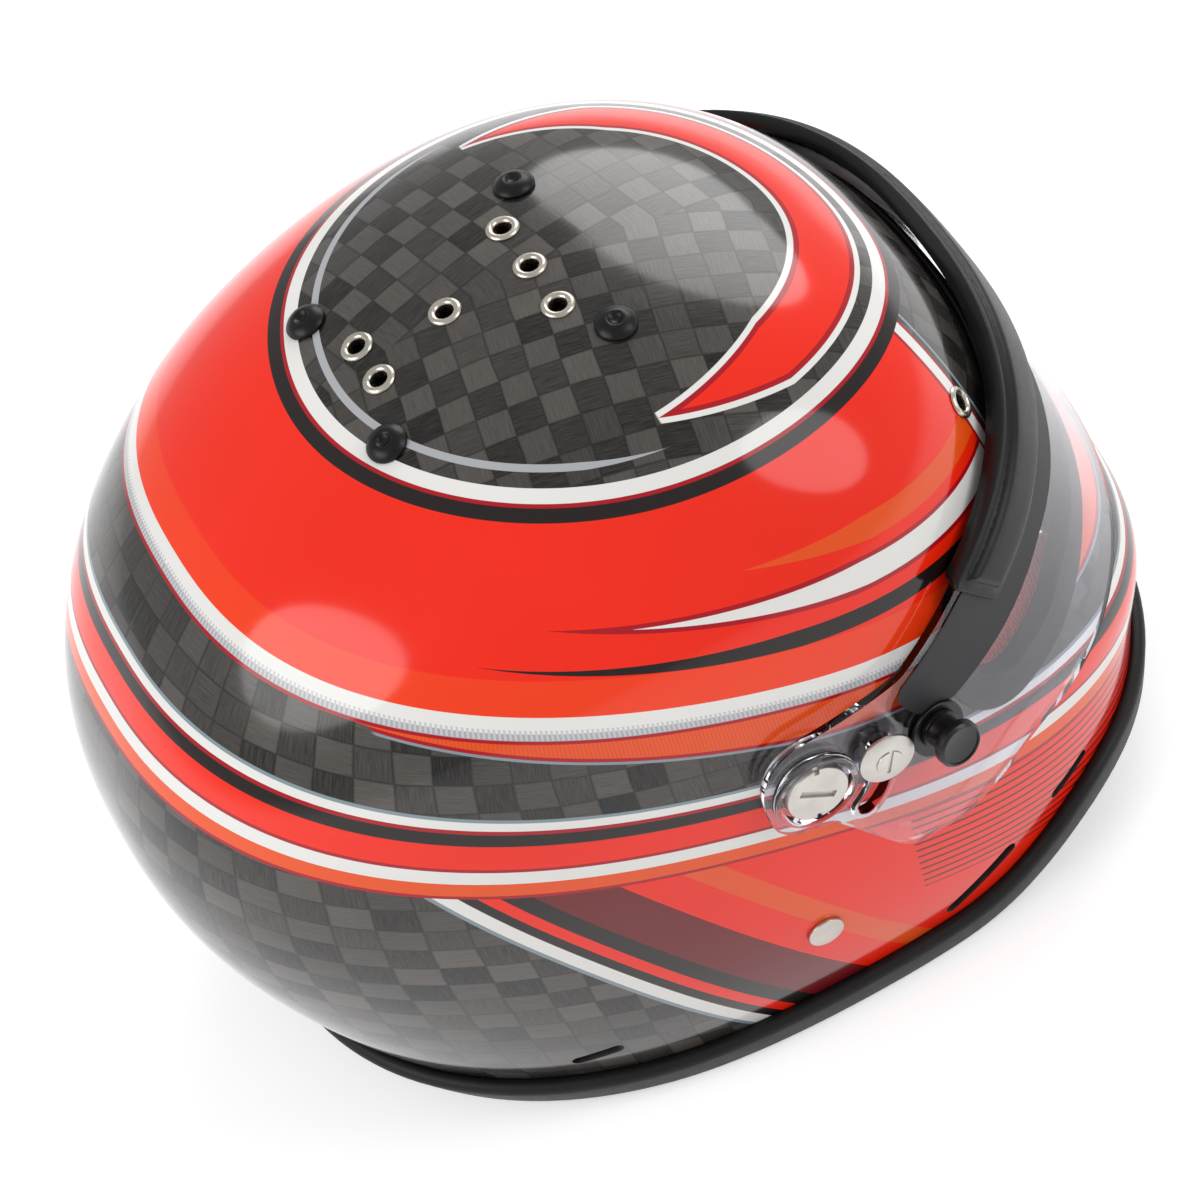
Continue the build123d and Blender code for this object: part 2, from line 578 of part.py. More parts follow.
def cavity(inset):
    """The room for the head: a dome on a straight oval well, made smaller all round by inset."""
    half_width = CAVITY_HALF_WIDTH - inset
    half_length = CAVITY_HALF_LENGTH - inset
    dome = Pos(0, CAVITY_Y, CAVITY_Z) * scale(Sphere(1), by=(half_width, half_length, CAVITY_RISE - inset))
    well = Pos(0, CAVITY_Y, CAVITY_Z) * extrude(Ellipse(half_width, half_length), amount=-OVERRUN)
    return dome + well


def foam_liner():
    """The energy-absorbing liner, with pockets for the pivot hardware and vent holes under the eyelets."""
    foam = (Dome(-WALL - SOFT_GAP).solid() & plate(LINER_SHARES, EYEPORT_REACH)) - cavity(0)
    pockets = []
    for side in SIDES:
        pocket = peg(PIVOT_NUT_RADIUS + WALL, HALF_WIDTH - 4 * WALL, OVERRUN)
        pockets.append(side_axis(0, PIVOT_HEIGHT, side) * pocket)
        pockets.append(side_axis(-STOP_RADIUS, PIVOT_HEIGHT, side) * pocket)
        brow = outer_skin.side_plane(BROW_EYELET_Y, BROW_EYELET_Z, side)
        pockets.append(brow * peg(EYELET_RADIUS, -3 * WALL, WALL))
    for x, y in CROWN_EYELETS:
        pockets.append(Pos(x, y, 0) * peg(VENT_RADIUS, CAVITY_Z, OVERRUN))
        pockets.append(outer_skin.crown_plane(x, y) * peg(EYELET_RADIUS, -3 * WALL, WALL))
    return foam - pockets


def foam_crown(foam):
    """The cap of the liner, a separate moulding that sits on the band."""
    return foam - below_split(SEAT)


def foam_band(foam):
    """The band of the liner round the sides and the back of the head."""
    return foam & below_split(0)


def below_split(lift):
    height = PIVOT_HEIGHT + LINER_SPLIT_SHARE * EYEPORT_REACH + lift
    return Pos(0, 0, height) * Box(2 * OVERRUN, 2 * OVERRUN, OVERRUN, align=(Align.CENTER, Align.CENTER, Align.MAX))


def crown_pad():
    """The comfort liner, a padded dome inside the foam."""
    pad = cavity(SOFT_GAP) - cavity(CROWN_PAD_THICK)
    return pad & plate(LINER_SHARES, EYEPORT_REACH, -CROWN_PAD_INSET)


def cheek_pad(side):
    """A crowned pad between the shell and the wearer's cheek."""
    block = extrude(Plane.YZ * side_outline(CHEEK_SHARES, EYEPORT_REACH), amount=OVERRUN)
    block = Pos(CHEEK_INNER, 0, 0) * block
    block = fillet(block.faces().sort_by(Axis.X)[0].edges(), CHEEK_ROUND)
    pad = (block & cheek_form) - gasket_room
    return pad if side > 0 else mirror(pad, about=Plane.YZ)


def chin_pad():
    """The grey lining of the chin bar."""
    lining = lining_form - Dome(-WALL - CHIN_PAD_THICK).solid()
    return lining & plate(CHIN_PAD_SHARES, EYEPORT_REACH)


def neck_roll():
    """The padded roll behind the neck, under the foam liner."""
    roll = cheek_form & plate(NECK_SHARES, EYEPORT_REACH)
    well = Pos(0, NECK_Y, 0) * extrude(Ellipse(NECK_HALF_WIDTH, NECK_HALF_LENGTH), amount=OVERRUN, both=True)
    return roll - well - under_edge(TRIM_HEIGHT + SOFT_GAP)


def anchor_screw(side):
    disc = peg(ANCHOR_DISC_RADIUS, SEAT, SEAT + ANCHOR_DISC_THICK)
    disc = fillet(disc.edges().group_by(Axis.Z)[-1], ANCHOR_DISC_THICK / 3)
    return outer_skin.side_plane(ANCHOR_Y, ANCHOR_Z, side) * (disc + peg(ANCHOR_SHANK_RADIUS, STACK_END, SEAT))


def anchor_plate(side):
    middle = PLATE_FACE - ANCHOR_PLATE_THICK / 2
    steel = Pos(0, 0, middle) * Box(ANCHOR_PLATE_WIDTH, ANCHOR_PLATE_HEIGHT, ANCHOR_PLATE_THICK)
    steel = fillet(steel.edges().filter_by(Axis.Z), ANCHOR_PLATE_THICK)
    return outer_skin.side_plane(ANCHOR_Y, ANCHOR_Z, side) * (steel - anchor_bore())


def anchor_bore():
    return peg(ANCHOR_SHANK_RADIUS, 2 * STACK_END, WALL)


def anchor_nut(side):
    nut = peg(ANCHOR_NUT_RADIUS, STACK_END, STACK_END + ANCHOR_NUT_THICK) - anchor_bore()
    return outer_skin.side_plane(ANCHOR_Y, ANCHOR_Z, side) * nut


def strap_start():
    """Where the left strap's middle line starts, and where it leaves the anchor plate, as X and Z."""
    place = outer_skin.side_plane(ANCHOR_Y, ANCHOR_Z, 1)
    depth = PLATE_FACE - ANCHOR_PLATE_THICK - STRAP_SEAT - STRAP_THICK / 2
    top = place.from_local_coords(Vector(0, STRAP_ABOVE, depth))
    low = place.from_local_coords(Vector(0, -STRAP_BELOW, depth))
    return (top.X, top.Z), (low.X, low.Z)


def webbing(route, radii):
    """A flat strap that follows a route in the plane of the two anchors."""
    path = Plane.XZ * FilletPolyline(*route, radius=radii)
    section = Plane(origin=path @ 0, x_dir=(0, 1, 0), z_dir=path % 0) * Rectangle(STRAP_WIDTH, STRAP_THICK)
    strap = Pos(0, ANCHOR_Y, 0) * sweep(section, path=path)
    return strap - outer_skin.side_plane(ANCHOR_Y, ANCHOR_Z, 1) * anchor_bore()


def short_strap():
    """The left strap, which ends in a sewn loop round both D-rings."""
    top, low = strap_start()
    rise = RING_SPACING / 2 + RING_WIRE_RADIUS + RUNNING_GAP + STRAP_THICK / 2
    turn = rise - PROBE
    route = [top, low, (STRAP_KNEE_X, RING_REST + rise + STRAP_THICK), (RING_X + RING_DEPTH, RING_REST + rise),
             (RING_X - rise, RING_REST + rise), (RING_X - rise, RING_REST - rise),
             (RING_X + RING_SPACING, RING_REST - rise), (RING_X + LOOP_TAIL, RING_REST)]
    return webbing(route, [STRAP_BEND / 2, STRAP_BEND, STRAP_BEND, turn, turn, STRAP_BEND / 2])


def long_strap():
    """The right strap, folded back over itself on the surface that the helmet stands on."""
    top, low = strap_start()
    turn = STRAP_FOLD_RISE / 2 - PROBE
    fold_x = -STRAP_FOLD_X
    route = [top, low, (STRAP_KNEE_X, STRAP_KNEE_Z), (STRAP_FLOOR_X, STRAP_REST), (fold_x, STRAP_REST),
             (fold_x, STRAP_REST + STRAP_FOLD_RISE), (STRAP_TAIL_X, STRAP_REST + STRAP_TAIL_RISE)]
    radii = [STRAP_BEND / 2, STRAP_BEND, STRAP_BEND, turn, turn]
    return mirror(webbing(route, radii), about=Plane.YZ)


def d_ring(level):
    """A bent steel D with its straight bar in the strap's loop."""
    half = RING_SPAN / 2
    corners = [(RING_X, -half), (RING_X, half), (RING_X - RING_DEPTH, half), (RING_X - RING_DEPTH, -half)]
    radii = [RING_BAR_CORNER, RING_BAR_CORNER, RING_CORNER, RING_CORNER]
    path = FilletPolyline(*corners, radius=radii, close=True)
    wire = sweep(Plane(origin=path @ 0, z_dir=path % 0) * Circle(RING_WIRE_RADIUS), path=path)
    return Pos(0, ANCHOR_Y, RING_REST + level * RING_SPACING / 2) * wire


PLATE_FACE = -WALL - ANCHOR_PLATE_SEAT
STACK_END = PLATE_FACE - ANCHOR_PLATE_THICK - STRAP_THICK - 2 * STRAP_SEAT - ANCHOR_NUT_THICK
cheek_form = Dome(-WALL - SOFT_GAP).solid()
lining_form = Dome(-WALL - GASKET_LIP - SOFT_GAP).solid()
gasket_room = plate(EYEPORT_SHARES, EYEPORT_REACH, GASKET_COVER + SOFT_GAP) - lining_form

shell_piece = outer_shell()
visor_piece = visor()
foam = foam_liner()
crown_places = [outer_skin.crown_plane(x, y) for x, y in CROWN_EYELETS]
brow_places = [outer_skin.side_plane(BROW_EYELET_Y, BROW_EYELET_Z, side) for side in SIDES]
plug_places = [outer_skin.crown_plane(x, y) for x, y in PLUG_PLACES]

pieces = {
    "outer_shell": shell_piece,
    "bottom_edge_trim": bottom_edge_trim(shell_piece),
    "eyeport_gasket": eyeport_gasket(shell_piece),
    "visor": visor_piece,
    "visor_top_seal": visor_top_seal(visor_piece),
    "sun_strip": sun_strip(),
    "foam_crown": foam_crown(foam),
    "foam_band": foam_band(foam),
    "crown_pad": crown_pad(),
    "chin_bar_liner": chin_pad(),
    "neck_roll": neck_roll(),
    "crown_vent_eyelets": Compound([eyelet(place) for place in crown_places]),
    "brow_vent_eyelets": Compound([eyelet(place) for place in brow_places]),
    "crown_rubber_plugs": Compound([rubber_plug(place) for place in plug_places]),
    "chin_strap_long": long_strap(),
    "chin_strap_short": short_strap(),
    "d_ring_upper": d_ring(1),
    "d_ring_lower": d_ring(-1),
}
for name, make in {
        "cheek_pad": cheek_pad, "pivot_base": pivot_base, "pivot_nut": pivot_nut,
        "pivot_screw": pivot_screw, "stop_screw": stop_screw, "stop_inset_screw": stop_inset,
        "stop_washer": stop_washer, "stop_nut": stop_nut, "tear_off_post": tear_off_post,
        "tear_off_washer": tear_off_washer, "tear_off_inner_washer": tear_off_inner_washer,
        "tear_off_screw": tear_off_screw, "anchor_screw": anchor_screw, "anchor_plate": anchor_plate,
        "anchor_nut": anchor_nut}.items():
    right, left = pair(make)
    pieces[name + "_right"] = right
    pieces[name + "_left"] = left

os.makedirs("parts", exist_ok=True)
for name, piece in pieces.items():
    export_step(piece, "parts/" + name + ".step")
for side, word in zip(SIDES, ("right", "left")):
    place = post_plane(side)
    print("tear-off post", word, "at", place.origin, "axis", place.z_dir)
print("pieces:", len(pieces))
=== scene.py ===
# %% [markdown]
# # A car racing helmet
# The solids of this helmet were made at their real size in a CAD tool. Here they get their looks. The first
# step loads them as a fixed frame: every piece that is made below is placed by that frame and moves with it.

# %% Load the frame
import json

import bmesh
import bpy
import numpy as np
from math import cos, pi, radians, sin
from mathutils import Matrix, Vector


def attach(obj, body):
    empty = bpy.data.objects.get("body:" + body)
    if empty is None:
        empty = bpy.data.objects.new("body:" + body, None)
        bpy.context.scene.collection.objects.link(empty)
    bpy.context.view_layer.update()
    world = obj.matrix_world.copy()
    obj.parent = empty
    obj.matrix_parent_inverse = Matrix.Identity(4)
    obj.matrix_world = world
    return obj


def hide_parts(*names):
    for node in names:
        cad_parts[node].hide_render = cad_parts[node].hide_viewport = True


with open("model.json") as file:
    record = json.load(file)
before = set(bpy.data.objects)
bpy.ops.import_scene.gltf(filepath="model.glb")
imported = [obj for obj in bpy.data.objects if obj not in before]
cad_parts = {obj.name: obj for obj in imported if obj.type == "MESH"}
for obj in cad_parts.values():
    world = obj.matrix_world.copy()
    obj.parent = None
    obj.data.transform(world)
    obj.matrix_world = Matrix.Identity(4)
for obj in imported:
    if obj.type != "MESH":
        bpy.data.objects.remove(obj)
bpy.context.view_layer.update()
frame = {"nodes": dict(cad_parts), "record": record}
scene = bpy.context.scene
MM = 0.001
FULL_TURN = 2 * pi

# %% [markdown]
# ## The camera
# The photograph looks down on the wearer's right side with the camera rolled a little. A long lens keeps
# the outline from bulging, as the lens of a product studio does. Three view angles set the camera's axes.

# %% Make the camera
CAMERA_AZIMUTH = -101.5
CAMERA_ELEVATION = 47.6
CAMERA_ROLL = -19.9
CAMERA_DISTANCE = 1562.6 * MM
CAMERA_TARGET = Vector((0, 0, 127.5 * MM))
# The middle of the frame looks a little past the target, as shares of the distance.
AIM_SHARES = (-0.0044, -0.0162)
LENS_LENGTH = 150
SENSOR_WIDTH = 36

azimuth = radians(CAMERA_AZIMUTH)
elevation = radians(CAMERA_ELEVATION)
roll = radians(CAMERA_ROLL)
backward = Vector((sin(azimuth) * cos(elevation), -cos(azimuth) * cos(elevation), sin(elevation)))
level_right = Vector((cos(azimuth), sin(azimuth), 0))
level_up = backward.cross(level_right)
camera_right = level_right * cos(roll) + level_up * sin(roll)
camera_up = level_up * cos(roll) - level_right * sin(roll)
aim = (backward - camera_right * AIM_SHARES[0] - camera_up * AIM_SHARES[1]).normalized()
camera_x = camera_up.cross(aim).normalized()
camera_y = aim.cross(camera_x)

lens = bpy.data.cameras.new("camera")
lens.lens = LENS_LENGTH
lens.sensor_width = SENSOR_WIDTH
camera = bpy.data.objects.new("camera", lens)
scene.collection.objects.link(camera)
turn = Matrix((camera_x, camera_y, aim)).transposed().to_4x4()
camera.matrix_world = Matrix.Translation(CAMERA_TARGET + backward * CAMERA_DISTANCE) @ turn
scene.camera = camera
scene.view_settings.view_transform = "Standard"
print("camera stands at:", [round(value, 3) for value in camera.matrix_world.translation])

# %% [markdown]
# ## Finishes
# A finish is a material made of nodes. Wiring nodes by hand hides the idea behind them, so a small class
# wraps a socket and lets Python's own arithmetic add the Math nodes. One method adds every other node.


# %% Wrap sockets so that arithmetic adds nodes
class Tone:
    """One output of a node. Arithmetic on tones adds the Math nodes that work it out."""

    def __init__(self, finish, socket):
        self.finish = finish
        self.socket = socket

    def math(self, operation, *others, clamp=False):
        settings = {"operation": operation, "use_clamp": clamp}
        return self.finish.add("ShaderNodeMath", settings, [self, *others])

    def __add__(self, other):
        return self.math("ADD", other)

    def __sub__(self, other):
        return self.math("SUBTRACT", other)

    def __rsub__(self, other):
        return self.finish.add("ShaderNodeMath", {"operation": "SUBTRACT"}, [other, self])

    def __mul__(self, other):
        return self.math("MULTIPLY", other)

    def __truediv__(self, other):
        return self.math("DIVIDE", other)

    def __pow__(self, other):
        return self.math("POWER", other)

    def __abs__(self):
        return self.math("ABSOLUTE")

    def __neg__(self):
        return self * -1

    def clamped(self):
        return self.math("ADD", 0, clamp=True)

    def floor(self):
        return self.math("FLOOR")

    def part(self):
        """What is left above the whole number."""
        return self.math("FRACT")

    def wave(self):
        return self.math("SINE")

    __radd__ = __add__
    __rmul__ = __mul__


# %% Add every other node with one method
class Finish:
    """A material, or the world, whose nodes are all added by one method."""

    def __init__(self, name, owners=bpy.data.materials):
        self.owner = owners.new(name)
        self.owner.use_nodes = True
        self.tree = self.owner.node_tree
        self.tree.nodes.clear()

    def add(self, kind, settings=None, sockets=(), output=0):
        """A node with its settings and sockets filled in, as the tone that it gives out."""
        node = self.tree.nodes.new(kind)
        for key, value in (settings or {}).items():
            setattr(node, key, value)
        pairs = sockets.items() if isinstance(sockets, dict) else enumerate(sockets)
        for place, value in pairs:
            if isinstance(value, Tone):
                self.tree.links.new(value.socket, node.inputs[place])
            else:
                node.inputs[place].default_value = value
        return Tone(self, node.outputs[output])

    def spot(self):
        """The place on the object in metres, as one tone and as three."""
        place = self.add("ShaderNodeTexCoord", output="Object")
        return place, [self.add("ShaderNodeSeparateXYZ", {}, [place], axis) for axis in ("X", "Y", "Z")]

    def joined(self, x, y, z):
        return self.add("ShaderNodeCombineXYZ", {}, [x, y, z])

    def noise(self, vector, scale, detail=2.0, roughness=0.5):
        return self.add("ShaderNodeTexNoise", {},
                        {"Vector": vector, "Scale": scale, "Detail": detail, "Roughness": roughness}, "Fac")

    def mixed(self, amount, first, second):
        return self.add("ShaderNodeMix", {"data_type": "RGBA"}, {0: amount, 6: first, 7: second}, 2)

    def bump(self, height, distance, strength=1.0):
        return self.add("ShaderNodeBump", {},
                        {"Height": height, "Distance": distance, "Strength": strength}, "Normal")

    def surface(self, **sockets):
        """The shader and the output, with sockets named as words joined by underscores."""
        named = {key.replace("_", " "): value for key, value in sockets.items()}
        self.end(self.add("ShaderNodeBsdfPrincipled", {}, named, "BSDF"))

    def end(self, shader, kind="ShaderNodeOutputMaterial"):
        output = self.tree.nodes.new(kind)
        self.tree.links.new(shader.socket, output.inputs["Surface"])


def colour(red, green, blue):
    """A display colour, from 0 to 255 a channel, as the linear colour that nodes take."""
    shares = np.array([red, green, blue]) / 255
    linear = np.where(shares < 0.04045, shares / 12.92, ((shares + 0.055) / 1.055) ** 2.4)
    return (*linear.tolist(), 1)


# %% [markdown]
# ## The floor and the light
# The helmet stands on a plain pale floor. Three big soft lamps give the broad highlights on the clear coat,
# and the pale world fills the shadows. The camera sees the floor and the world as nearly white, because both
# glow a little more for the rays that come straight from it than for the light that falls on the helmet.

# %% Make the floor and the world
FLOOR_REACH = 4.0
FLOOR_PAPER = (0.86, 0.86, 0.87, 1)
FLOOR_GLOW = 0.42
WORLD_GLOW = 0.55
WHITE = (1, 1, 1, 1)


def new_piece(name, mesh):
    """An object at the origin that takes over a bmesh."""
    data = bpy.data.meshes.new(name)
    mesh.to_mesh(data)
    mesh.free()
    piece = bpy.data.objects.new(name, data)
    scene.collection.objects.link(piece)
    return piece


def rays(finish, *kinds):
    """1 where a ray is of one of the kinds, else 0."""
    return sum(finish.add("ShaderNodeLightPath", output=f"Is {kind} Ray") for kind in kinds).clamped()


def make_floor():
    mesh = bmesh.new()
    bmesh.ops.create_grid(mesh, x_segments=1, y_segments=1, size=FLOOR_REACH)
    floor = new_piece("floor", mesh)
    finish = Finish("pale_floor")
    strength = rays(finish, "Camera", "Glossy", "Transmission") * FLOOR_GLOW
    paper = finish.add("ShaderNodeBsdfDiffuse", {}, {"Color": FLOOR_PAPER}, "BSDF")
    glow = finish.add("ShaderNodeEmission", {}, {"Color": WHITE, "Strength": strength})
    finish.end(finish.add("ShaderNodeAddShader", {}, [paper, glow]))
    floor.data.materials.append(finish.owner)


def make_world():
    studio = Finish("studio", bpy.data.worlds)
    scene.world = studio.owner
    strength = WORLD_GLOW + rays(studio, "Camera", "Transmission") * (1 - WORLD_GLOW)
    sky = studio.add("ShaderNodeBackground", {}, {"Color": WHITE, "Strength": strength})
    studio.end(sky, "ShaderNodeOutputWorld")


make_floor()
make_world()


# %% Hang the lamps
def make_lamp(name, place, size, power):
    """A soft oval lamp that faces the helmet."""
    data = bpy.data.lights.new(name, "AREA")
    data.shape = "ELLIPSE"
    data.size, data.size_y = size
    data.energy = power
    lamp = bpy.data.objects.new(name, data)
    scene.collection.objects.link(lamp)
    lamp.location = place
    lamp.rotation_euler = (Vector(place) - CAMERA_TARGET).to_track_quat("Z", "Y").to_euler()
    print(name, "gives", power, "watts")


make_lamp("back_softbox", (-0.3, 1.8, 1.3), (1.9, 1.2), 20)
make_lamp("front_softbox", (-0.9, -1.5, 1.3), (1.0, 1.5), 11)
make_lamp("far_softbox", (1.3, -1.2, 1.1), (1.5, 1.1), 16)

# %% [markdown]
# ## The helmet's form as a formula
# The shell, the visor and the rubber all follow one form. A point belongs to it when its level is 1: the
# level compares its place with the reach from the visor's pivot axis at that angle and with the half width.
# Dividing a point by its level seats it on the skin, and the level's slope is the way the skin faces.

# %% Write the form
HALF_WIDTH = 126.0 * MM
PIVOT = np.array([0, 0, 129.5 * MM])
BACK_REACH = 182.9 * MM
WALL = 3.0 * MM
REACH_SHARES = [1.004, 1.147, 0.933, 0.632, 0.685, 0.640, 0.617, 0.671, 0.846, 1.044, 1.000, 1.090]
REACH_BLEND = 9.0
FULLNESS = [2.98, 2.16, 2.73, 2.29]
FULLNESS_BLEND = 2.0
CHIN_RIDGE = 8.5 * MM
RIDGE_ANGLE = radians(-23)
RIDGE_SPREAD = radians(6.5)
RIDGE_FADE = 6
SEATING_ROUNDS = 4
SLOPE_STEP = 0.05 * MM


def blend(angle, values, sharpness):
    """A smooth value at an angle, from values spread evenly round a circle that starts straight down."""
    places = np.radians(np.arange(len(values)) * 360 / len(values) - 90)
    weights = np.exp(sharpness * np.cos(angle[..., None] - places))
    return (weights * values).sum(-1) / weights.sum(-1)


class Skin:
    """A face that follows the helmet's form, with a gap from the shell in front and at the sides."""

    def __init__(self, front_gap, side_gap):
        self.front_gap = front_gap
        self.half_width = HALF_WIDTH + side_gap

    def reach(self, angle, share):
        ridge = CHIN_RIDGE * np.exp(-((angle - RIDGE_ANGLE) / RIDGE_SPREAD) ** 2)
        ridge = ridge * (1 - np.minimum(share, 1) ** RIDGE_FADE)
        return BACK_REACH * blend(angle, REACH_SHARES, REACH_BLEND) + self.front_gap + ridge

    def level(self, points):
        offset = points - PIVOT
        angle = np.arctan2(offset[:, 2], -offset[:, 1])
        share = abs(offset[:, 0]) / self.half_width
        power = blend(angle, FULLNESS, FULLNESS_BLEND)
        away = np.hypot(offset[:, 1], offset[:, 2]) / self.reach(angle, share)
        return (share ** power + away ** power) ** (1 / power)

    def seat(self, points):
        """The points moved onto the skin, along lines from the middle of the pivot axis."""
        for _ in range(SEATING_ROUNDS):
            points = PIVOT + (points - PIVOT) / self.level(points)[:, None]
        return points

    def off(self, points):
        """About how far the points stand off the skin."""
        return (self.level(points) - 1) * np.linalg.norm(points - PIVOT, axis=1)

    def facing(self, points):
        """The directions in which the skin faces at the points."""
        steps = SLOPE_STEP * np.eye(3)
        slope = np.array([self.level(points + step) - self.level(points - step) for step in steps]).T
        return slope / np.linalg.norm(slope, axis=1)[:, None]


shell_outer = Skin(0, 0)
shell_inner = Skin(-WALL, -WALL)

# %% Stack the visor's faces on it
VISOR_FRONT_GAP = 5.0 * MM
VISOR_SIDE_GAP = 3.0 * MM
VISOR_THICK = 2.8 * MM
FILM_SEAT = 0.1 * MM
FILM_THICK = 0.3 * MM


def visor_skin(depth):
    """A face that lies outwards from the visor's inner face."""
    return Skin(VISOR_FRONT_GAP + depth, VISOR_SIDE_GAP + depth)


visor_inner = visor_skin(0)
visor_outer = visor_skin(VISOR_THICK)
film_inner = visor_skin(VISOR_THICK + FILM_SEAT)
film_outer = visor_skin(VISOR_THICK + FILM_SEAT + FILM_THICK)
for name, skin in (("shell", shell_outer), ("visor", visor_outer), ("film", film_outer)):
    print(name, "half width:", round(skin.half_width / MM, 2), "mm")

# %% [markdown]
# ## From loose triangles to a piece
# A CAD model arrives as loose triangles. So each node is copied, its triangles are joined, and the copy
# stands for the node from there on: it rides on the same body and takes the finish given to it.

# %% Copy and join
JOIN = 0.01 * MM
CREASE = 40
body_of = {node: body for body, nodes in frame["record"]["behaviour"]["bodies"].items() for node in nodes}


def joined_mesh(node):
    """A bmesh of a CAD node with its loose triangles joined."""
    mesh = bmesh.new()
    mesh.from_mesh(frame["nodes"][node].data)
    bmesh.ops.remove_doubles(mesh, verts=mesh.verts, dist=JOIN)
    return mesh


def adopt(piece, node, finish):
    """The piece stands for a CAD node, on its body and with the given finish."""
    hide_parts(node)
    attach(piece, body_of[node])
    piece.data.materials.clear()
    piece.data.materials.append(finish.owner)
    return piece


def shade(piece, crease=CREASE):
    """Smooth shading up to the edges that turn by more than the crease, in degrees."""
    data = piece.data
    data.polygons.foreach_set("use_smooth", np.ones(len(data.polygons), bool))
    data.set_sharp_from_angle(angle=radians(crease))


def plain_copy(node, name, finish, crease=CREASE):
    """A joined, smooth-shaded copy of a CAD node."""
    shade(adopt(new_piece(name, joined_mesh(node)), node, finish), crease)


# %% [markdown]
# ## From flat faces to a smooth skin
# A glossy coat would show every flat triangle of the shell and the visor. Where a face follows the form, its
# long edges are divided and the new points are seated on the formula. The shading then takes the formula's
# own directions, so the reflections run as smoothly as on the moulded piece.

# %% Refine and shade by the formula
NEAR = 0.8 * MM
REFINING_ROUNDS = 8
SAME_WAY = 0.5


def points_of(verts):
    return np.array([vert.co for vert in verts])


def on_skins(points, skins):
    """For each point, the number of the skin that it lies on, or -1."""
    gaps = np.array([abs(skin.off(points)) for skin in skins])
    return np.where(gaps.min(axis=0) < NEAR, gaps.argmin(axis=0), -1)


def seat_points(mesh, skins):
    points = points_of(mesh.verts)
    places = on_skins(points, skins)
    for number, skin in enumerate(skins):
        chosen = places == number
        points[chosen] = skin.seat(points[chosen])
    for vert, point in zip(mesh.verts, points):
        vert.co = point


def refine(mesh, skins, longest):
    """Divides the faces that follow the skins, until no edge is longer, and seats their points."""
    for _ in range(REFINING_ROUNDS):
        mesh.verts.index_update()
        places = on_skins(points_of(mesh.verts), skins)
        long_edges = [edge for edge in mesh.edges if edge.calc_length() > longest
                      and places[edge.verts[0].index] == places[edge.verts[1].index] >= 0]
        if not long_edges:
            break
        bmesh.ops.subdivide_edges(mesh, edges=long_edges, cuts=1, use_grid_fill=True)
        seat_points(mesh, skins)
    bmesh.ops.triangulate(mesh, faces=mesh.faces)


def shade_by_skins(piece, skins, signs):
    """Gives the faces on each skin the formula's own directions, where the face looks the same way."""
    data = piece.data
    points = points_of(data.vertices)
    places = on_skins(points, skins)
    facings = [skin.facing(points) * sign for skin, sign in zip(skins, signs)]
    directions = np.zeros((len(data.loops), 3))
    for face in data.polygons:
        corners = places[list(face.vertices)]
        if corners[0] >= 0 and (corners == corners[0]).all():
            facing = facings[corners[0]]
            if facing[face.vertices[0]] @ np.array(face.normal) > SAME_WAY:
                for loop in face.loop_indices:
                    directions[loop] = facing[data.loops[loop].vertex_index]
    data.normals_split_custom_set(directions.tolist())


def smooth_copy(node, name, finish, skins, longest):
    """A copy whose outer and inner faces are refined and shaded by the two skins."""
    mesh = joined_mesh(node)
    refine(mesh, skins, longest)
    piece = adopt(new_piece(name, mesh), node, finish)
    shade(piece)
    shade_by_skins(piece, skins, [1, -1])
    print(name, "has", len(piece.data.polygons), "triangles")
    return piece


# %% [markdown]
# ## Carbon cloth under a clear coat
# The bare parts of the shell show spread-tow carbon: flat tapes about 10 mm wide, woven over and under. Each
# square shows tape that runs one way, with fine streaks along it, so neighbours catch the light differently;
# every other square is painted lighter for that, a painted sheen. A tile's number picks its shade, noise
# stretched along the tape makes the streaks, and a low hump across each tape bends the reflection.

# %% Weave the carbon
TAPE = 10.0 * MM
TAPE_WANDER = 0.5 * MM
WANDER_SCALE = 35.0
STREAK_FINE = 2600.0
STREAK_LONG = 130.0
STREAK_LIFT = 0.9
STREAK_HEIGHT = 0.15
LEAST_SHADE = 0.04
# Every other square is painted lighter than its neighbours: a painted sheen for tape that faces the light
# another way.
ODD_TILE_SHEEN = 0.28
TILE_LIFT = 0.36
SEAM_SHADE = 0.35
SEAM_SHARPNESS = 9
CARBON_DARK = colour(18, 16, 15)
CARBON_LIGHT = colour(108, 103, 98)


def weave_carbon(finish, along, across):
    """The colour and the height of woven tape, from two lengths that follow the surface."""
    cloth = finish.joined(along, across, 0)
    wander = (finish.noise(cloth, WANDER_SCALE) - 0.5) * (4 * TAPE_WANDER)
    u = (along + wander) / TAPE
    v = (across - wander) / TAPE
    odd = ((u.floor() + v.floor()) * 0.5).part() * 2
    streaks_u = finish.noise(finish.joined(along * STREAK_LONG, across * STREAK_FINE, 0), 1.0, 3.0, 0.7)
    streaks_v = finish.noise(finish.joined(along * STREAK_FINE, across * STREAK_LONG, 0), 1.0, 3.0, 0.7)
    streaks = streaks_u * odd + streaks_v * (1 - odd)
    tile = finish.add("ShaderNodeTexWhiteNoise", {"noise_dimensions": "2D"},
                      {"Vector": finish.joined(u.floor(), v.floor(), 0)}, "Value")
    hump_u = 1 - abs(u.part() - 0.5) * 2
    hump_v = 1 - abs(v.part() - 0.5) * 2
    edge = (hump_u.math("MINIMUM", hump_v) * SEAM_SHARPNESS).clamped()
    # The odd squares' lift is painted sheen; each tile's own shade and the streaks differ at random.
    light = LEAST_SHADE + odd * ODD_TILE_SHEEN + tile * TILE_LIFT + (streaks - 0.5) * STREAK_LIFT
    seams = SEAM_SHADE + (1 - SEAM_SHADE) * edge
    tint = finish.mixed((light * seams).clamped(), CARBON_DARK, CARBON_LIGHT)
    height = (hump_v ** 0.5) * odd + (hump_u ** 0.5) * (1 - odd) + streaks * STREAK_HEIGHT
    return tint, height


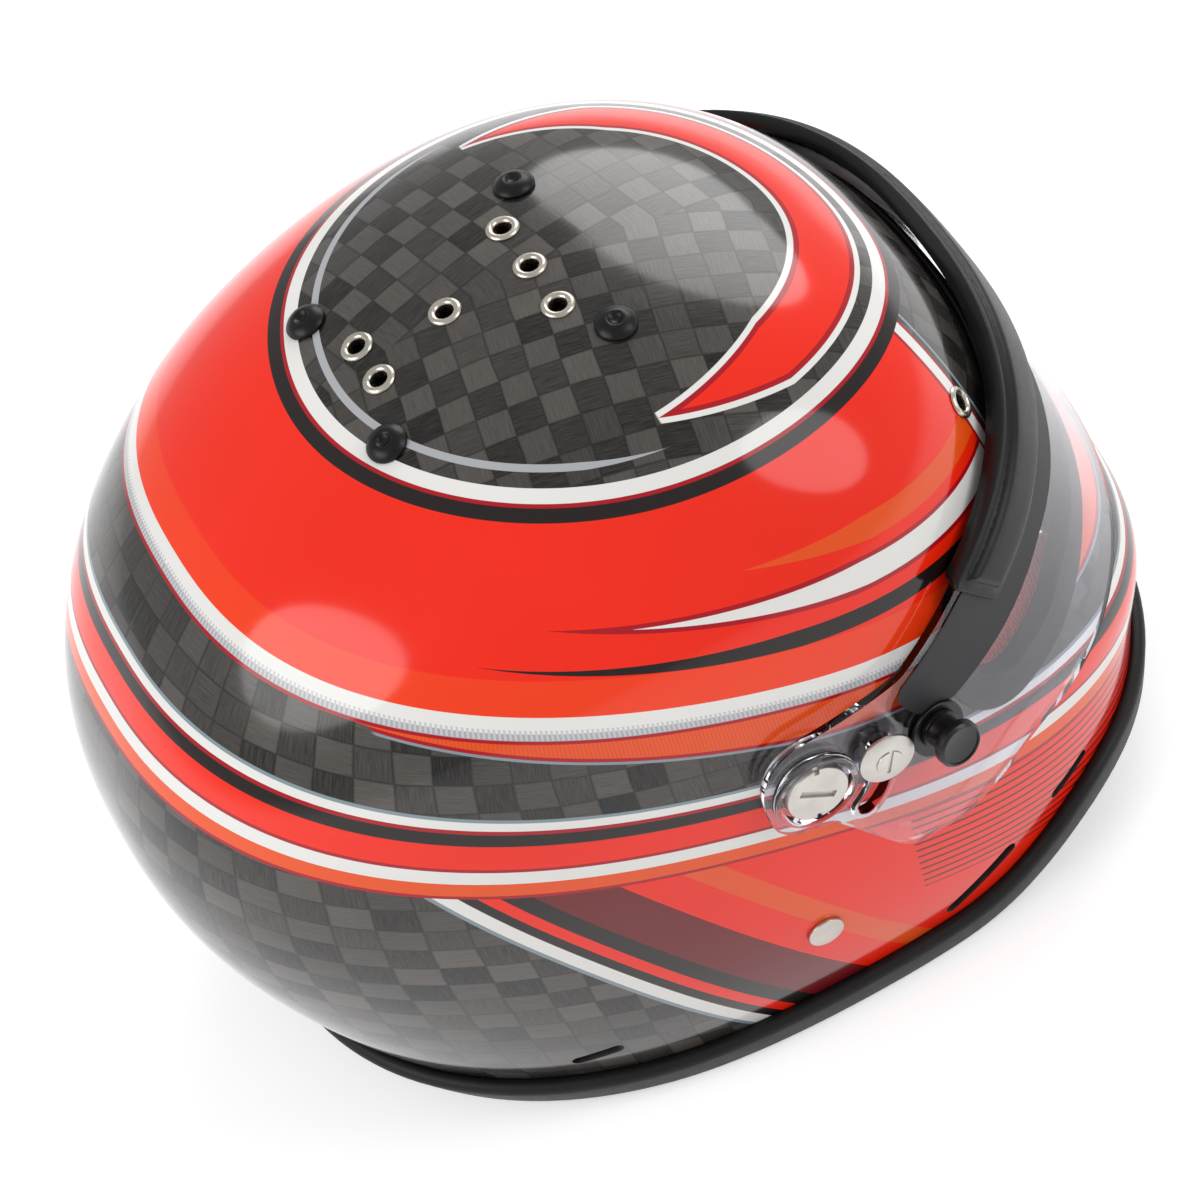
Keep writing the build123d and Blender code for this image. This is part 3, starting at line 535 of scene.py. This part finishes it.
# %% [markdown]
# ## The racing stripes
# The stripes are masks on distances over the surface. A field, such as an oval seen from above or a tilted
# height, gives the shape of a line. Dividing the field by its slope along the surface turns it into real
# millimetres, so a line keeps its width where the shell curves away. Each band is then one row of a list:
# its paint, and where it starts and ends.

# %% Mix the paints
RACING_RED = colour(252, 38, 6)
DEEP_RED = colour(178, 4, 26)
WINE_RED = colour(116, 14, 22)
SOFT_RED = colour(254, 62, 14)
BURNT_ORANGE = colour(228, 78, 30)
OFF_WHITE = colour(240, 239, 235)
NEAR_BLACK = colour(30, 20, 19)
AMBER = colour(244, 86, 20)
BLUE_GREY = colour(138, 155, 163)
SILVER_GREY = colour(176, 178, 182)
PALE_GREY = colour(208, 208, 210)

# %% Lay paint by masks
SOFT_EDGE = 0.12 * MM
STEEPEST = 0.02


class Livery:
    """Paint laid over bare carbon in coats, each where a mask is 1."""

    def __init__(self, finish):
        self.finish = finish
        _, (x, self.y, self.z) = finish.spot()
        self.side = abs(x)
        self.around = self.side.math("ARCTAN2", self.y) * HALF_WIDTH
        normal = finish.add("ShaderNodeNewGeometry", output="Normal")
        self.normal = [finish.add("ShaderNodeSeparateXYZ", {}, [normal], axis) for axis in ("X", "Y", "Z")]

    def begin(self, carbon):
        """Bare carbon all over."""
        self.carbon = carbon
        self.coat = carbon
        self.bare = 1

    def distance(self, field, slope_x, slope_y, slope_z):
        """The field as a distance over the surface."""
        facing = abs(self.normal[0]) * slope_x + self.normal[1] * slope_y + self.normal[2] * slope_z
        steep = slope_x * slope_x + slope_y * slope_y + slope_z * slope_z
        along = (steep - facing * facing).math("MAXIMUM", STEEPEST)
        return field / along.math("SQRT")

    def above(self, distance, start=0):
        """1 where a distance is past its start."""
        return ((distance - start) / SOFT_EDGE + 0.5).clamped()

    def band(self, distance, start, end):
        return self.above(distance, start) * (1 - self.above(distance, end))

    def lay(self, paint, mask):
        self.coat = self.finish.mixed(mask, self.coat, paint)
        self.bare = self.bare * (1 - mask)

    def lay_bands(self, distance, bands, mask=1):
        """Lays each paint between two distances, in millimetres."""
        for paint, start, end in bands:
            self.lay(paint, self.band(distance, start * MM, end * MM) * mask)

    def strip(self, mask):
        """Leaves the carbon bare where the mask is 1."""
        self.coat = self.finish.mixed(mask, self.coat, self.carbon)
        self.bare = self.bare + mask - self.bare * mask


# %% [markdown]
# ## The lines that the stripes follow
# Four lines carry the whole design: an oval on the crown, a waistline that climbs towards the back, a brow
# line on the forehead and a slash across each side. Each is a field with its slope.

# %% Measure from the lines
OVAL_MIDDLE = -12.0 * MM
OVAL_HALF_WIDTH = 84.0 * MM
OVAL_HALF_LENGTH = 86.0 * MM
OVAL_HEART = 0.05


def oval_distance(livery):
    """Distance outwards from the crown's oval, which is drawn as seen from above."""
    across = livery.side / OVAL_HALF_WIDTH
    along = (livery.y - OVAL_MIDDLE) / OVAL_HALF_LENGTH
    size = (across * across + along * along).math("SQRT").math("MAXIMUM", OVAL_HEART)
    return livery.distance(size - 1, across / size / OVAL_HALF_WIDTH, along / size / OVAL_HALF_LENGTH, 0)


def tilted_distance(livery, height, tilt):
    """Distance upwards from a line that climbs towards the back."""
    return livery.distance(livery.z - livery.y * tilt - height, 0, -tilt, 1)


def slanted_distance(livery, start, lean):
    """Distance backwards from a line that leans back as it climbs, on both sides."""
    return livery.distance(livery.y - livery.z * lean - start, 0, 1, -lean)


def spread_distance(livery, start, lean):
    """Distance forwards from a line that swings forwards at the sides."""
    return livery.distance(-livery.y - livery.side * lean - start, -lean, -1, 0)


# %% [markdown]
# ## The lower panels
# A red panel covers the front half of each side up to the waist. Its back edge is the slash, with a wine-red
# and a black slash ahead of it, and thin pinstripes run along it towards the chin, which stays bare carbon.

# %% Lay the lower panels
SLASH_BANDS = [(WINE_RED, -34.0, -18.0), (NEAR_BLACK, -18.0, -12.0), (AMBER, -54.0, -46.0)]
SLASH_EDGE = [(OFF_WHITE, -4.6, 0.0), (BLUE_GREY, 0.0, 1.4), (NEAR_BLACK, -8.0, -4.6)]
CHIN_EDGE = [(OFF_WHITE, 0.0, 6.0), (DEEP_RED, 6.0, 8.5), (NEAR_BLACK, 8.5, 13.0), (DEEP_RED, -4.0, -2.5)]
PANEL_TOP = -30 * MM
PIN_PITCH = 3.4 * MM
PIN_GAP_SHARE = 0.72
PIN_START = 26 * MM
PIN_DEPTH = -72 * MM
CHIN_START = 70 * MM
CHIN_HALF_WIDTH = 38 * MM
CHIN_FLARE = 0.25


def lay_lower_panels(livery, waist, slash):
    below = 1 - livery.above(waist, PANEL_TOP)
    panel = (1 - livery.above(slash)) * below
    livery.lay(RACING_RED, panel)
    livery.lay_bands(slash, SLASH_BANDS, below)
    pins = (waist / PIN_PITCH).part()
    forward = livery.above(-livery.y, PIN_START) * livery.above(waist, PIN_DEPTH)
    livery.lay(WINE_RED, livery.above(pins - PIN_GAP_SHARE) * forward * panel)
    livery.lay_bands(slash, SLASH_EDGE, below)
    chin = livery.distance(livery.side - livery.z * CHIN_FLARE - CHIN_HALF_WIDTH, 1, 0, -CHIN_FLARE)
    front = livery.above(-livery.y, CHIN_START) * below
    livery.strip((1 - livery.above(chin)) * front)
    livery.lay_bands(chin, CHIN_EDGE, front)


# %% [markdown]
# ## The waist
# From the top down: a white band with a fine grey hatch, an amber stripe that swells towards the front, a
# belt of bare carbon, and a group of pinstripes and bands that runs right round the helmet.

# %% Lay the waist
WAIST_TOP = [(OFF_WHITE, 30.0, 36.5), (DEEP_RED, 36.2, 37.6), (SILVER_GREY, 27.6, 30.2)]
WAIST_HATCH = [(PALE_GREY, 28.0, 31.5)]
HATCH_PITCH = 1.4 * MM
AMBER_TOP = 26.6 * MM
AMBER_LINE = [(DEEP_RED, 26.6, 27.8)]
AMBER_START = 112 * MM
AMBER_SPREAD = 0.10
AMBER_DEPTH = 11 * MM
AMBER_EDGE = [(DEEP_RED, -1.3, 0.0), (BLUE_GREY, -2.3, -1.3)]
AMBER_LEAST = 0.4 * MM
RIB_PITCH = 1.1 * MM
RIB_GAP_SHARE = 0.62
WAIST_LOW = [(BLUE_GREY, -1.2, 0.0), (OFF_WHITE, -4.2, -1.2), (DEEP_RED, -5.6, -4.2),
             (NEAR_BLACK, -10.0, -5.6), (RACING_RED, -19.0, -10.0), (DEEP_RED, -20.2, -19.0),
             (OFF_WHITE, -25.0, -20.2), (AMBER, -30.0, -25.0), (DEEP_RED, -31.2, -30.0)]


def lay_waist(livery, waist):
    hatch = (livery.around / HATCH_PITCH).part()
    livery.lay_bands(waist, WAIST_TOP)
    livery.lay_bands(waist, WAIST_HATCH, livery.above(hatch - 0.5))
    livery.lay_bands(waist, AMBER_LINE)
    swell = ((AMBER_START - livery.y) * AMBER_SPREAD).math("MAXIMUM", 0).math("MINIMUM", AMBER_DEPTH)
    low = waist - (AMBER_TOP - swell)
    amber = livery.above(low) * (1 - livery.above(waist, AMBER_TOP))
    rib = (livery.around / RIB_PITCH).part()
    livery.lay(AMBER, amber)
    livery.lay(BURNT_ORANGE, amber * livery.above(rib - RIB_GAP_SHARE))
    livery.lay_bands(low, AMBER_EDGE, livery.above(swell, AMBER_LEAST))
    livery.lay_bands(waist, WAIST_LOW)


# %% [markdown]
# ## The crown
# A red field fills the space between the waist and the oval, and stops at the brow line, ahead of which the
# carbon is bare. Tapered darts run back through it. The oval has a white, red and black ring, with a red
# crescent inside its front and a thin silver line inside its back.

# %% Lay the crown
FIELD_START = 36 * MM
RING_REACH = 9.5 * MM
BROW_START = 62.0 * MM
BROW_LEAN = 0.42
FIELD_GLOW = [(SOFT_RED, 36.0, 49.0)]
BROW_EDGE = [(DEEP_RED, -1.3, 0.0), (OFF_WHITE, 0.0, 4.6), (DEEP_RED, 4.6, 5.8), (BLUE_GREY, 8.0, 9.2)]
RING = [(NEAR_BLACK, 4.9, 9.6), (DEEP_RED, 3.6, 5.0), (OFF_WHITE, -1.0, 3.7)]
DART_HEIGHT = 195 * MM
DART_TILT = 0.30
# Each dart's rise over the dart line, its paint, how far back its tip is, its taper, and its half width.
DARTS = [(0.0, DEEP_RED, 52.0, 0.060, 5.2), (0.0, OFF_WHITE, 30.0, 0.055, 3.8),
         (-12.0, NEAR_BLACK, 74.0, 0.030, 2.6), (13.0, AMBER, -6.0, 0.10, 4.0)]
CRESCENT_INSET = 16 * MM
CRESCENT_START = 6 * MM
CRESCENT_TAPER = 0.22
CRESCENT_HALF = 9 * MM
CRESCENT_COATS = [(OFF_WHITE, 1.8), (DEEP_RED, 0.0), (RACING_RED, -1.6)]
REAR_LINE_INSET = 7 * MM
REAR_LINE_START = 4 * MM
REAR_LINE_TAPER = 0.05
REAR_LINE_HALF = 1.2 * MM


def dart(livery, level, tip, taper, widest):
    """A straight stripe along a level line, pointed at the back."""
    half = ((tip - livery.y) * taper).math("MAXIMUM", 0).math("MINIMUM", widest)
    return livery.above(half - abs(level)) * livery.above(tip - livery.y)


def lay_field(livery, oval, waist):
    """The red field with its darts, and the brow line's edge."""
    brow = spread_distance(livery, BROW_START, BROW_LEAN)
    outside = livery.above(oval, RING_REACH) * livery.above(waist, FIELD_START)
    field = outside * (1 - livery.above(brow))
    livery.lay(RACING_RED, field)
    livery.lay_bands(waist, FIELD_GLOW, field)
    line = tilted_distance(livery, DART_HEIGHT, DART_TILT)
    for rise, paint, tip, taper, widest in DARTS:
        livery.lay(paint, dart(livery, line - rise * MM, tip * MM, taper, widest * MM) * field)
    livery.lay_bands(brow, BROW_EDGE, outside)


def lay_oval(livery, oval):
    """The oval's ring, the crescent inside its front and the line inside its back."""
    livery.lay_bands(oval, RING)
    for paint, spare in CRESCENT_COATS:
        half = ((-livery.y - CRESCENT_START) * CRESCENT_TAPER).math("MINIMUM", CRESCENT_HALF) + spare * MM
        livery.lay(paint, livery.above(half - abs(oval + CRESCENT_INSET)) * livery.above(half, spare * MM))
    half = ((livery.y + REAR_LINE_START) * REAR_LINE_TAPER).math("MINIMUM", REAR_LINE_HALF)
    livery.lay(SILVER_GREY, livery.above(half - abs(oval + REAR_LINE_INSET)))


# %% [markdown]
# ## Carbon, paint and clear coat together
# The cloth is woven along the sides and, turned a little, over the crown. The paint hides it coat by coat,
# and where the shell stays bare the tapes' humps show in the reflection. One clear coat covers everything.

# %% Paint the shell
CROWN_CLOTH_REACH = 9 * MM
CROWN_TURN = 0.22
SIDE_STRETCH = 1.04
SIDE_TURN = 0.25
WAIST_HEIGHT = 131 * MM
WAIST_TILT = 0.36
SLASH_START = 28 * MM
SLASH_LEAN = 0.62
MOTTLE_SCALE = 18.0
RIPPLE_HEIGHT = 0.10 * MM


def weave_shell(livery):
    """The carbon's colour and height over the whole shell, with a seam round the crown."""
    finish = livery.finish
    side, y = livery.side, livery.y
    tint_low, height_low = weave_carbon(finish, livery.around, livery.z * SIDE_STRETCH - y * SIDE_TURN)
    tint_top, height_top = weave_carbon(finish, side + y * CROWN_TURN, y - side * CROWN_TURN)
    oval = oval_distance(livery)
    top = livery.above(-oval, -CROWN_CLOTH_REACH)
    return oval, finish.mixed(top, tint_low, tint_top), height_low * (1 - top) + height_top * top


def paint_shell():
    finish = Finish("painted_carbon")
    livery = Livery(finish)
    oval, carbon, height = weave_shell(livery)
    livery.begin(carbon)
    waist = tilted_distance(livery, WAIST_HEIGHT, WAIST_TILT)
    lay_lower_panels(livery, waist, slanted_distance(livery, SLASH_START, SLASH_LEAN))
    lay_waist(livery, waist)
    lay_field(livery, oval, waist)
    lay_oval(livery, oval)

    mottle = finish.noise(finish.spot()[0], MOTTLE_SCALE, 4.0)
    painted = finish.mixed((mottle - 0.5) * 0.10 + 0.05, livery.coat, NEAR_BLACK)
    ripple = finish.bump(height * livery.bare, RIPPLE_HEIGHT, 0.55)
    finish.surface(Base_Color=painted, Roughness=0.34 - livery.bare * 0.02 + mottle * 0.05, Normal=ripple,
                   Metallic=livery.bare * 0.25, Coat_Weight=1.0, Coat_Roughness=0.10, Coat_IOR=1.42,
                   Specular_IOR_Level=0.04)
    print("the paint has", len(finish.tree.nodes), "nodes")
    return finish


painted_carbon = paint_shell()

# %% [markdown]
# ## The inside of the shell
# The laminate's inner face isn't painted. It shows dull grey resin with a faint weave, so the faces on the
# inner skin get a finish of their own.

# %% Resin finish and the shell piece
SHELL_EDGE = 5.0 * MM


def resin_finish():
    finish = Finish("bare_resin")
    place, _ = finish.spot()
    cloth = finish.noise(place, 260.0, 3.0)
    tint = finish.mixed(cloth, colour(44, 44, 46), colour(72, 72, 74))
    finish.surface(Base_Color=tint, Roughness=0.62 + cloth * 0.2, Normal=finish.bump(cloth, 0.3 * MM, 0.5))
    return finish


def make_shell():
    """The shell, painted outside and bare inside."""
    skins = [shell_outer, shell_inner]
    piece = smooth_copy("outer_shell", "painted_shell", painted_carbon, skins, SHELL_EDGE)
    piece.data.materials.append(resin_finish().owner)
    outside = shell_outer.off(points_of(piece.data.vertices)) > -WALL / 4
    for face in piece.data.polygons:
        face.material_index = 0 if outside[list(face.vertices)].all() else 1


make_shell()

# %% [markdown]
# ## The clear visor
# The visor is 2.8 mm of injection-moulded polycarbonate. Its wall is a real closed wall, so the glass shader
# bends light at both faces and its edges light up by themselves. Shadow rays pass straight through, because
# a thin clear sheet throws hardly any shadow.

# %% Glass finish and the visor piece
VISOR_EDGE = 4.0 * MM
CLEAR_TINT = (0.86, 0.86, 0.92, 1)
SHADOW_TINT = (0.93, 0.93, 0.95, 1)


def clear_finish():
    finish = Finish("clear_polycarbonate")
    glass = finish.add("ShaderNodeBsdfPrincipled", {}, {
        "Base Color": CLEAR_TINT, "Roughness": 0.0, "Transmission Weight": 1.0, "IOR": 1.5}, "BSDF")
    through = finish.add("ShaderNodeBsdfTransparent", {}, {"Color": SHADOW_TINT}, "BSDF")
    shadow = finish.add("ShaderNodeLightPath", output="Is Shadow Ray")
    finish.end(finish.add("ShaderNodeMixShader", {}, [shadow, glass, through]))
    return finish


smooth_copy("visor", "clear_visor", clear_finish(), [visor_outer, visor_inner], VISOR_EDGE)

# %% [markdown]
# ## Rubber
# The seals, the edge trims and the crown plugs are moulded rubber: nearly black, matt, with a faint mottle
# and pale scuffs where hands rub it.

# %% Rubber finish and the rubber pieces
SCUFF = colour(50, 50, 52)


def rubber_finish(name, roughness, tone, wear):
    finish = Finish(name)
    place, _ = finish.spot()
    mottle = finish.noise(place, 900.0, 3.0)
    scuff = finish.noise(place, 40.0, 5.0, 0.7)
    tint = finish.mixed(((scuff - 0.55) * wear).clamped(), tone, SCUFF)
    finish.surface(Base_Color=tint, Roughness=roughness + (mottle - 0.5) * 0.12 + (scuff - 0.5) * 0.1,
                   Specular_IOR_Level=0.3, Normal=finish.bump(mottle, 0.05 * MM, 0.5))
    return finish


rubber = rubber_finish("black_rubber", 0.5, colour(15, 15, 16), 0.9)
seal_rubber = rubber_finish("seal_rubber", 0.4, colour(14, 14, 15), 0.3)
soft_rubber = rubber_finish("crown_plug_rubber", 0.36, colour(12, 12, 13), 0.5)
for node in ("bottom_edge_trim", "eyeport_gasket"):
    plain_copy(node, node + "_rubber", rubber)
plain_copy("visor_top_seal", "visor_top_seal_rubber", seal_rubber)
plain_copy("crown_rubber_plugs", "crown_plugs", soft_rubber)
print("finishes so far:", len(bpy.data.materials))


# %% [markdown]
# ## The sun strip
# A plain matt film covers the top of the visor. It is a third of a millimetre thick and follows the glass.

# %% Film finish and the strip
def film_finish():
    finish = Finish("black_film")
    place, _ = finish.spot()
    haze = finish.noise(place, 60.0, 4.0)
    grain = finish.noise(place, 1500.0, 2.0)
    finish.surface(Base_Color=finish.mixed(haze, colour(36, 36, 38), colour(46, 46, 49)),
                   Roughness=0.48 + haze * 0.12, Specular_IOR_Level=0.35,
                   Normal=finish.bump(grain, 0.02 * MM, 0.3))
    return finish


smooth_copy("sun_strip", "sun_strip_film", film_finish(), [film_outer, film_inner], VISOR_EDGE)

# %% [markdown]
# ## Metal and hard plastic
# The pivot discs are satin silver with a fine grain. The eyelets are rolled nickel-plated brass with a warm
# tint. The tear-off posts are black nylon. A small bevel on every sharp edge of the screws, nuts, plates,
# washers and posts gives the thin bright line that real metal has there.

# %% Metal and nylon finishes
METAL_GRAIN = 900.0
NYLON_GRAIN = 1400.0
WORN_METAL = colour(120, 117, 112)


def metal_finish(name, tone, roughness):
    finish = Finish(name)
    place, _ = finish.spot()
    brush = finish.noise(place, METAL_GRAIN, 3.0)
    wear = finish.noise(place, 120.0, 4.0)
    tint = finish.mixed(wear * 0.5, tone, WORN_METAL)
    finish.surface(Base_Color=tint, Metallic=1.0, Roughness=roughness + (brush - 0.5) * 0.18,
                   Normal=finish.bump(brush, 0.02 * MM, 0.3))
    return finish


def nylon_finish():
    finish = Finish("black_nylon")
    place, _ = finish.spot()
    grain = finish.noise(place, NYLON_GRAIN, 2.0)
    finish.surface(Base_Color=finish.mixed(grain, colour(7, 7, 8), colour(18, 18, 19)),
                   Roughness=0.26 + grain * 0.14, Normal=finish.bump(grain, 0.03 * MM, 0.4))
    return finish


# %% Bevel and place the hardware
EDGE_BEVEL = 0.22 * MM
SHARP = radians(35)
EYELET_CREASE = 50


def hardware(node, name, finish):
    """A joined copy of a CAD node with its sharp edges bevelled."""
    mesh = joined_mesh(node)
    mesh.normal_update()
    sharp = [edge for edge in mesh.edges if edge.is_manifold and edge.calc_face_angle(0) > SHARP]
    bmesh.ops.bevel(mesh, geom=sharp, offset=EDGE_BEVEL, affect="EDGES", segments=2, profile=0.5,
                    material=-1, clamp_overlap=True)
    shade(adopt(new_piece(name, mesh), node, finish))


silver = metal_finish("satin_silver", colour(214, 211, 205), 0.36)
nickel = metal_finish("nickel_eyelet", colour(226, 218, 205), 0.28)
steel = metal_finish("plated_steel", colour(176, 176, 178), 0.30)
nylon = nylon_finish()
PAIRS = {
    "pivot_screw": silver, "stop_screw": silver, "stop_inset_screw": silver, "anchor_screw": silver,
    "pivot_nut": steel, "stop_nut": steel, "anchor_nut": steel, "anchor_plate": steel,
    "tear_off_screw": steel, "pivot_base": nylon, "stop_washer": nylon, "tear_off_post": nylon,
    "tear_off_washer": nylon, "tear_off_inner_washer": nylon,
}
for side in ("right", "left"):
    for node, finish in PAIRS.items():
        hardware(f"{node}_{side}", f"{node}_{side}_part", finish)
for node in ("crown_vent_eyelets", "brow_vent_eyelets"):
    plain_copy(node, node + "_part", nickel, EYELET_CREASE)
for node in ("d_ring_upper", "d_ring_lower"):
    plain_copy(node, node + "_part", steel)
print("pairs of fittings:", len(PAIRS))

# %% [markdown]
# ## Lining cloth
# The pads are foam under woven fireproof cloth. The weave is two sets of threads that pass over and under
# each other about every millimetre. Sine waves on the piece's own place draw it from three sides, so that no
# face of a pad shows smeared threads.

# %% Cloth finish
THREAD = 1.3 * MM


def cloth_finish(name, tone, shadow):
    finish = Finish(name)
    place, (x, y, z) = finish.spot()
    turn = FULL_TURN / THREAD
    threads = ((y + z * 0.2) * turn).wave() * ((z - y * 0.2) * turn).wave() + ((x + y) * turn).wave() * 0.35
    fuzz = finish.noise(place, 700.0, 3.0)
    slub = finish.noise(place, 45.0, 4.0)
    amount = (0.55 + threads * 0.28 + (fuzz - 0.5) * 0.5 + (slub - 0.5) * 0.4).clamped()
    finish.surface(Base_Color=finish.mixed(amount, shadow, tone), Roughness=0.82 + fuzz * 0.12,
                   Normal=finish.bump(threads * 0.5 + fuzz * 0.4, 0.22 * MM, 0.7), Sheen_Weight=0.35,
                   Sheen_Roughness=0.5)
    return finish


red_cloth = cloth_finish("red_lining", colour(244, 84, 66), colour(168, 30, 26))
grey_cloth = cloth_finish("grey_lining", colour(120, 120, 126), colour(62, 62, 66))

# %% [markdown]
# ## The pads
# Each pad starts as its CAD solid, remeshed into even squares. A short cloth simulation with pressure inside
# swells it as foam swells a cover, with a cap on how far a point may move, so it stays in its place. The
# sewn seams come after that, as shallow grooves.

# %% Move points and work modifiers in
def set_points(piece, points):
    piece.data.vertices.foreach_set("co", points.ravel())
    piece.data.update()


def press_in(piece, depth):
    """Moves the points inwards along their own directions."""
    directions = np.array([vert.normal for vert in piece.data.vertices])
    set_points(piece, points_of(piece.data.vertices) - directions * depth)


def settle(piece):
    """Works the piece's modifiers into its mesh and removes them."""
    seen = piece.evaluated_get(bpy.context.evaluated_depsgraph_get())
    data = bpy.data.meshes.new_from_object(seen)
    piece.modifiers.clear()
    piece.data = data


# %% Remesh, swell and smooth
VOXEL = 4.5 * MM
PRESSURE = 4.0
SWELL_STEPS = 20
PAD_SHRINK = 1.2 * MM
PAD_CAP = 2.6 * MM
SMOOTHINGS = 4
NO_CREASE = 180


def remeshed(node, name):
    piece = new_piece(name, joined_mesh(node))
    remesh = piece.modifiers.new("squares", "REMESH")
    remesh.mode = "VOXEL"
    remesh.voxel_size = VOXEL
    settle(piece)
    return piece


def swell(piece):
    """Blows the piece up a little, as foam fills its cover."""
    start = points_of(piece.data.vertices)
    cloth = piece.modifiers.new("cover", "CLOTH")
    cloth.settings.use_pressure = True
    cloth.settings.uniform_pressure_force = PRESSURE
    cloth.settings.effector_weights.gravity = 0
    cloth.settings.quality = 4
    cloth.point_cache.frame_end = SWELL_STEPS
    for step in range(1, SWELL_STEPS + 1):
        scene.frame_set(step)
    settle(piece)
    scene.frame_set(1)
    moved = points_of(piece.data.vertices) - start
    length = np.linalg.norm(moved, axis=1)[:, None]
    set_points(piece, start + moved * np.minimum(1, PAD_CAP / np.maximum(length, PAD_CAP / 100)))


def stuffed(node, finish, groove=None):
    """A padded piece that stands for a CAD solid."""
    piece = remeshed(node, node.removesuffix("_liner") + "_cover")
    press_in(piece, PAD_SHRINK)
    swell(piece)
    smooth = piece.modifiers.new("smooth", "SMOOTH")
    smooth.iterations = SMOOTHINGS
    finer = piece.modifiers.new("finer", "SUBSURF")
    finer.levels = 1
    finer.render_levels = 1
    settle(piece)
    if groove is not None:
        press_in(piece, groove(points_of(piece.data.vertices))[:, None])
    adopt(piece, node, finish)
    shade(piece, NO_CREASE)
    print(piece.name, "has", len(piece.data.polygons), "faces")


# %% [markdown]
# ## Where the pads are sewn
# A sewn channel is a line of stitches that pulls the cover down into the foam. Here it is a smooth dip whose
# depth falls off with the distance from the line.

# %% Make the pads
CHANNEL_DEPTH = 2.2 * MM
CHANNEL_HALF = 3.0 * MM
CROWN_CHANNEL_SIDE = 30 * MM
CROWN_CHANNEL_Y = 10 * MM
CROWN_CHANNEL_BOTTOM = 150 * MM
CHEEK_CHANNEL_Y = -52 * MM
CHEEK_FACE = 85 * MM


def dip(distance):
    return CHANNEL_DEPTH * np.exp(-(distance / CHANNEL_HALF) ** 2)


def crown_channels(points):
    """Two channels along the crown and one across it."""
    along = abs(abs(points[:, 0]) - CROWN_CHANNEL_SIDE)
    across = abs(points[:, 1] - CROWN_CHANNEL_Y)
    return np.maximum(dip(along), dip(across)) * (points[:, 2] > CROWN_CHANNEL_BOTTOM)


def cheek_channels(points):
    """One upright channel down the middle of a cheek pad's face."""
    return dip(points[:, 1] - CHEEK_CHANNEL_Y) * (abs(points[:, 0]) < CHEEK_FACE)


stuffed("cheek_pad_right", red_cloth, cheek_channels)
stuffed("cheek_pad_left", red_cloth, cheek_channels)
stuffed("crown_pad", red_cloth, crown_channels)
stuffed("chin_bar_liner", grey_cloth)
stuffed("neck_roll", grey_cloth)

# %% [markdown]
# ## Foam and webbing
# The energy liner is expanded bead foam: small round beads pressed together, which show as cells on its
# surface. The chin strap is flat webbing with ribs along it and a herringbone across.

# %% Foam and webbing finishes, and their pieces
BEAD_SCALE = 260.0
STRAP_MIDDLE = 8.9 * MM
RIB_WIDTH = 1.5 * MM
PICK_WIDTH = 1.1 * MM
PICK_SLANT = 0.9


def foam_finish():
    finish = Finish("bead_foam")
    place, _ = finish.spot()
    cells = finish.add("ShaderNodeTexVoronoi", {}, {"Vector": place, "Scale": BEAD_SCALE}, "Distance")
    tint = finish.mixed((cells * 1.4).clamped(), colour(52, 52, 55), colour(26, 26, 28))
    finish.surface(Base_Color=tint, Roughness=0.72, Normal=finish.bump(1 - cells, 0.5 * MM, 0.6))
    return finish


def webbing_finish():
    finish = Finish("black_webbing")
    place, (x, y, _) = finish.spot()
    ribs = (y * (FULL_TURN / RIB_WIDTH)).wave()
    picks = ((x + abs(y - STRAP_MIDDLE) * PICK_SLANT) * (FULL_TURN / PICK_WIDTH)).wave()
    fuzz = finish.noise(place, 800.0, 3.0)
    height = ribs * 0.4 + picks * 0.4 + fuzz * 0.4
    tint = finish.mixed((0.4 + height * 0.35).clamped(), colour(14, 14, 15), colour(56, 56, 58))
    finish.surface(Base_Color=tint, Roughness=0.7 + fuzz * 0.15, Normal=finish.bump(height, 0.2 * MM, 0.8))
    return finish


bead_foam = foam_finish()
for node in ("foam_crown", "foam_band"):
    plain_copy(node, node + "_part", bead_foam)
webbing = webbing_finish()
for node in ("chin_strap_long", "chin_strap_short"):
    plain_copy(node, node + "_webbing", webbing)
print("finishes in all:", len(bpy.data.materials))
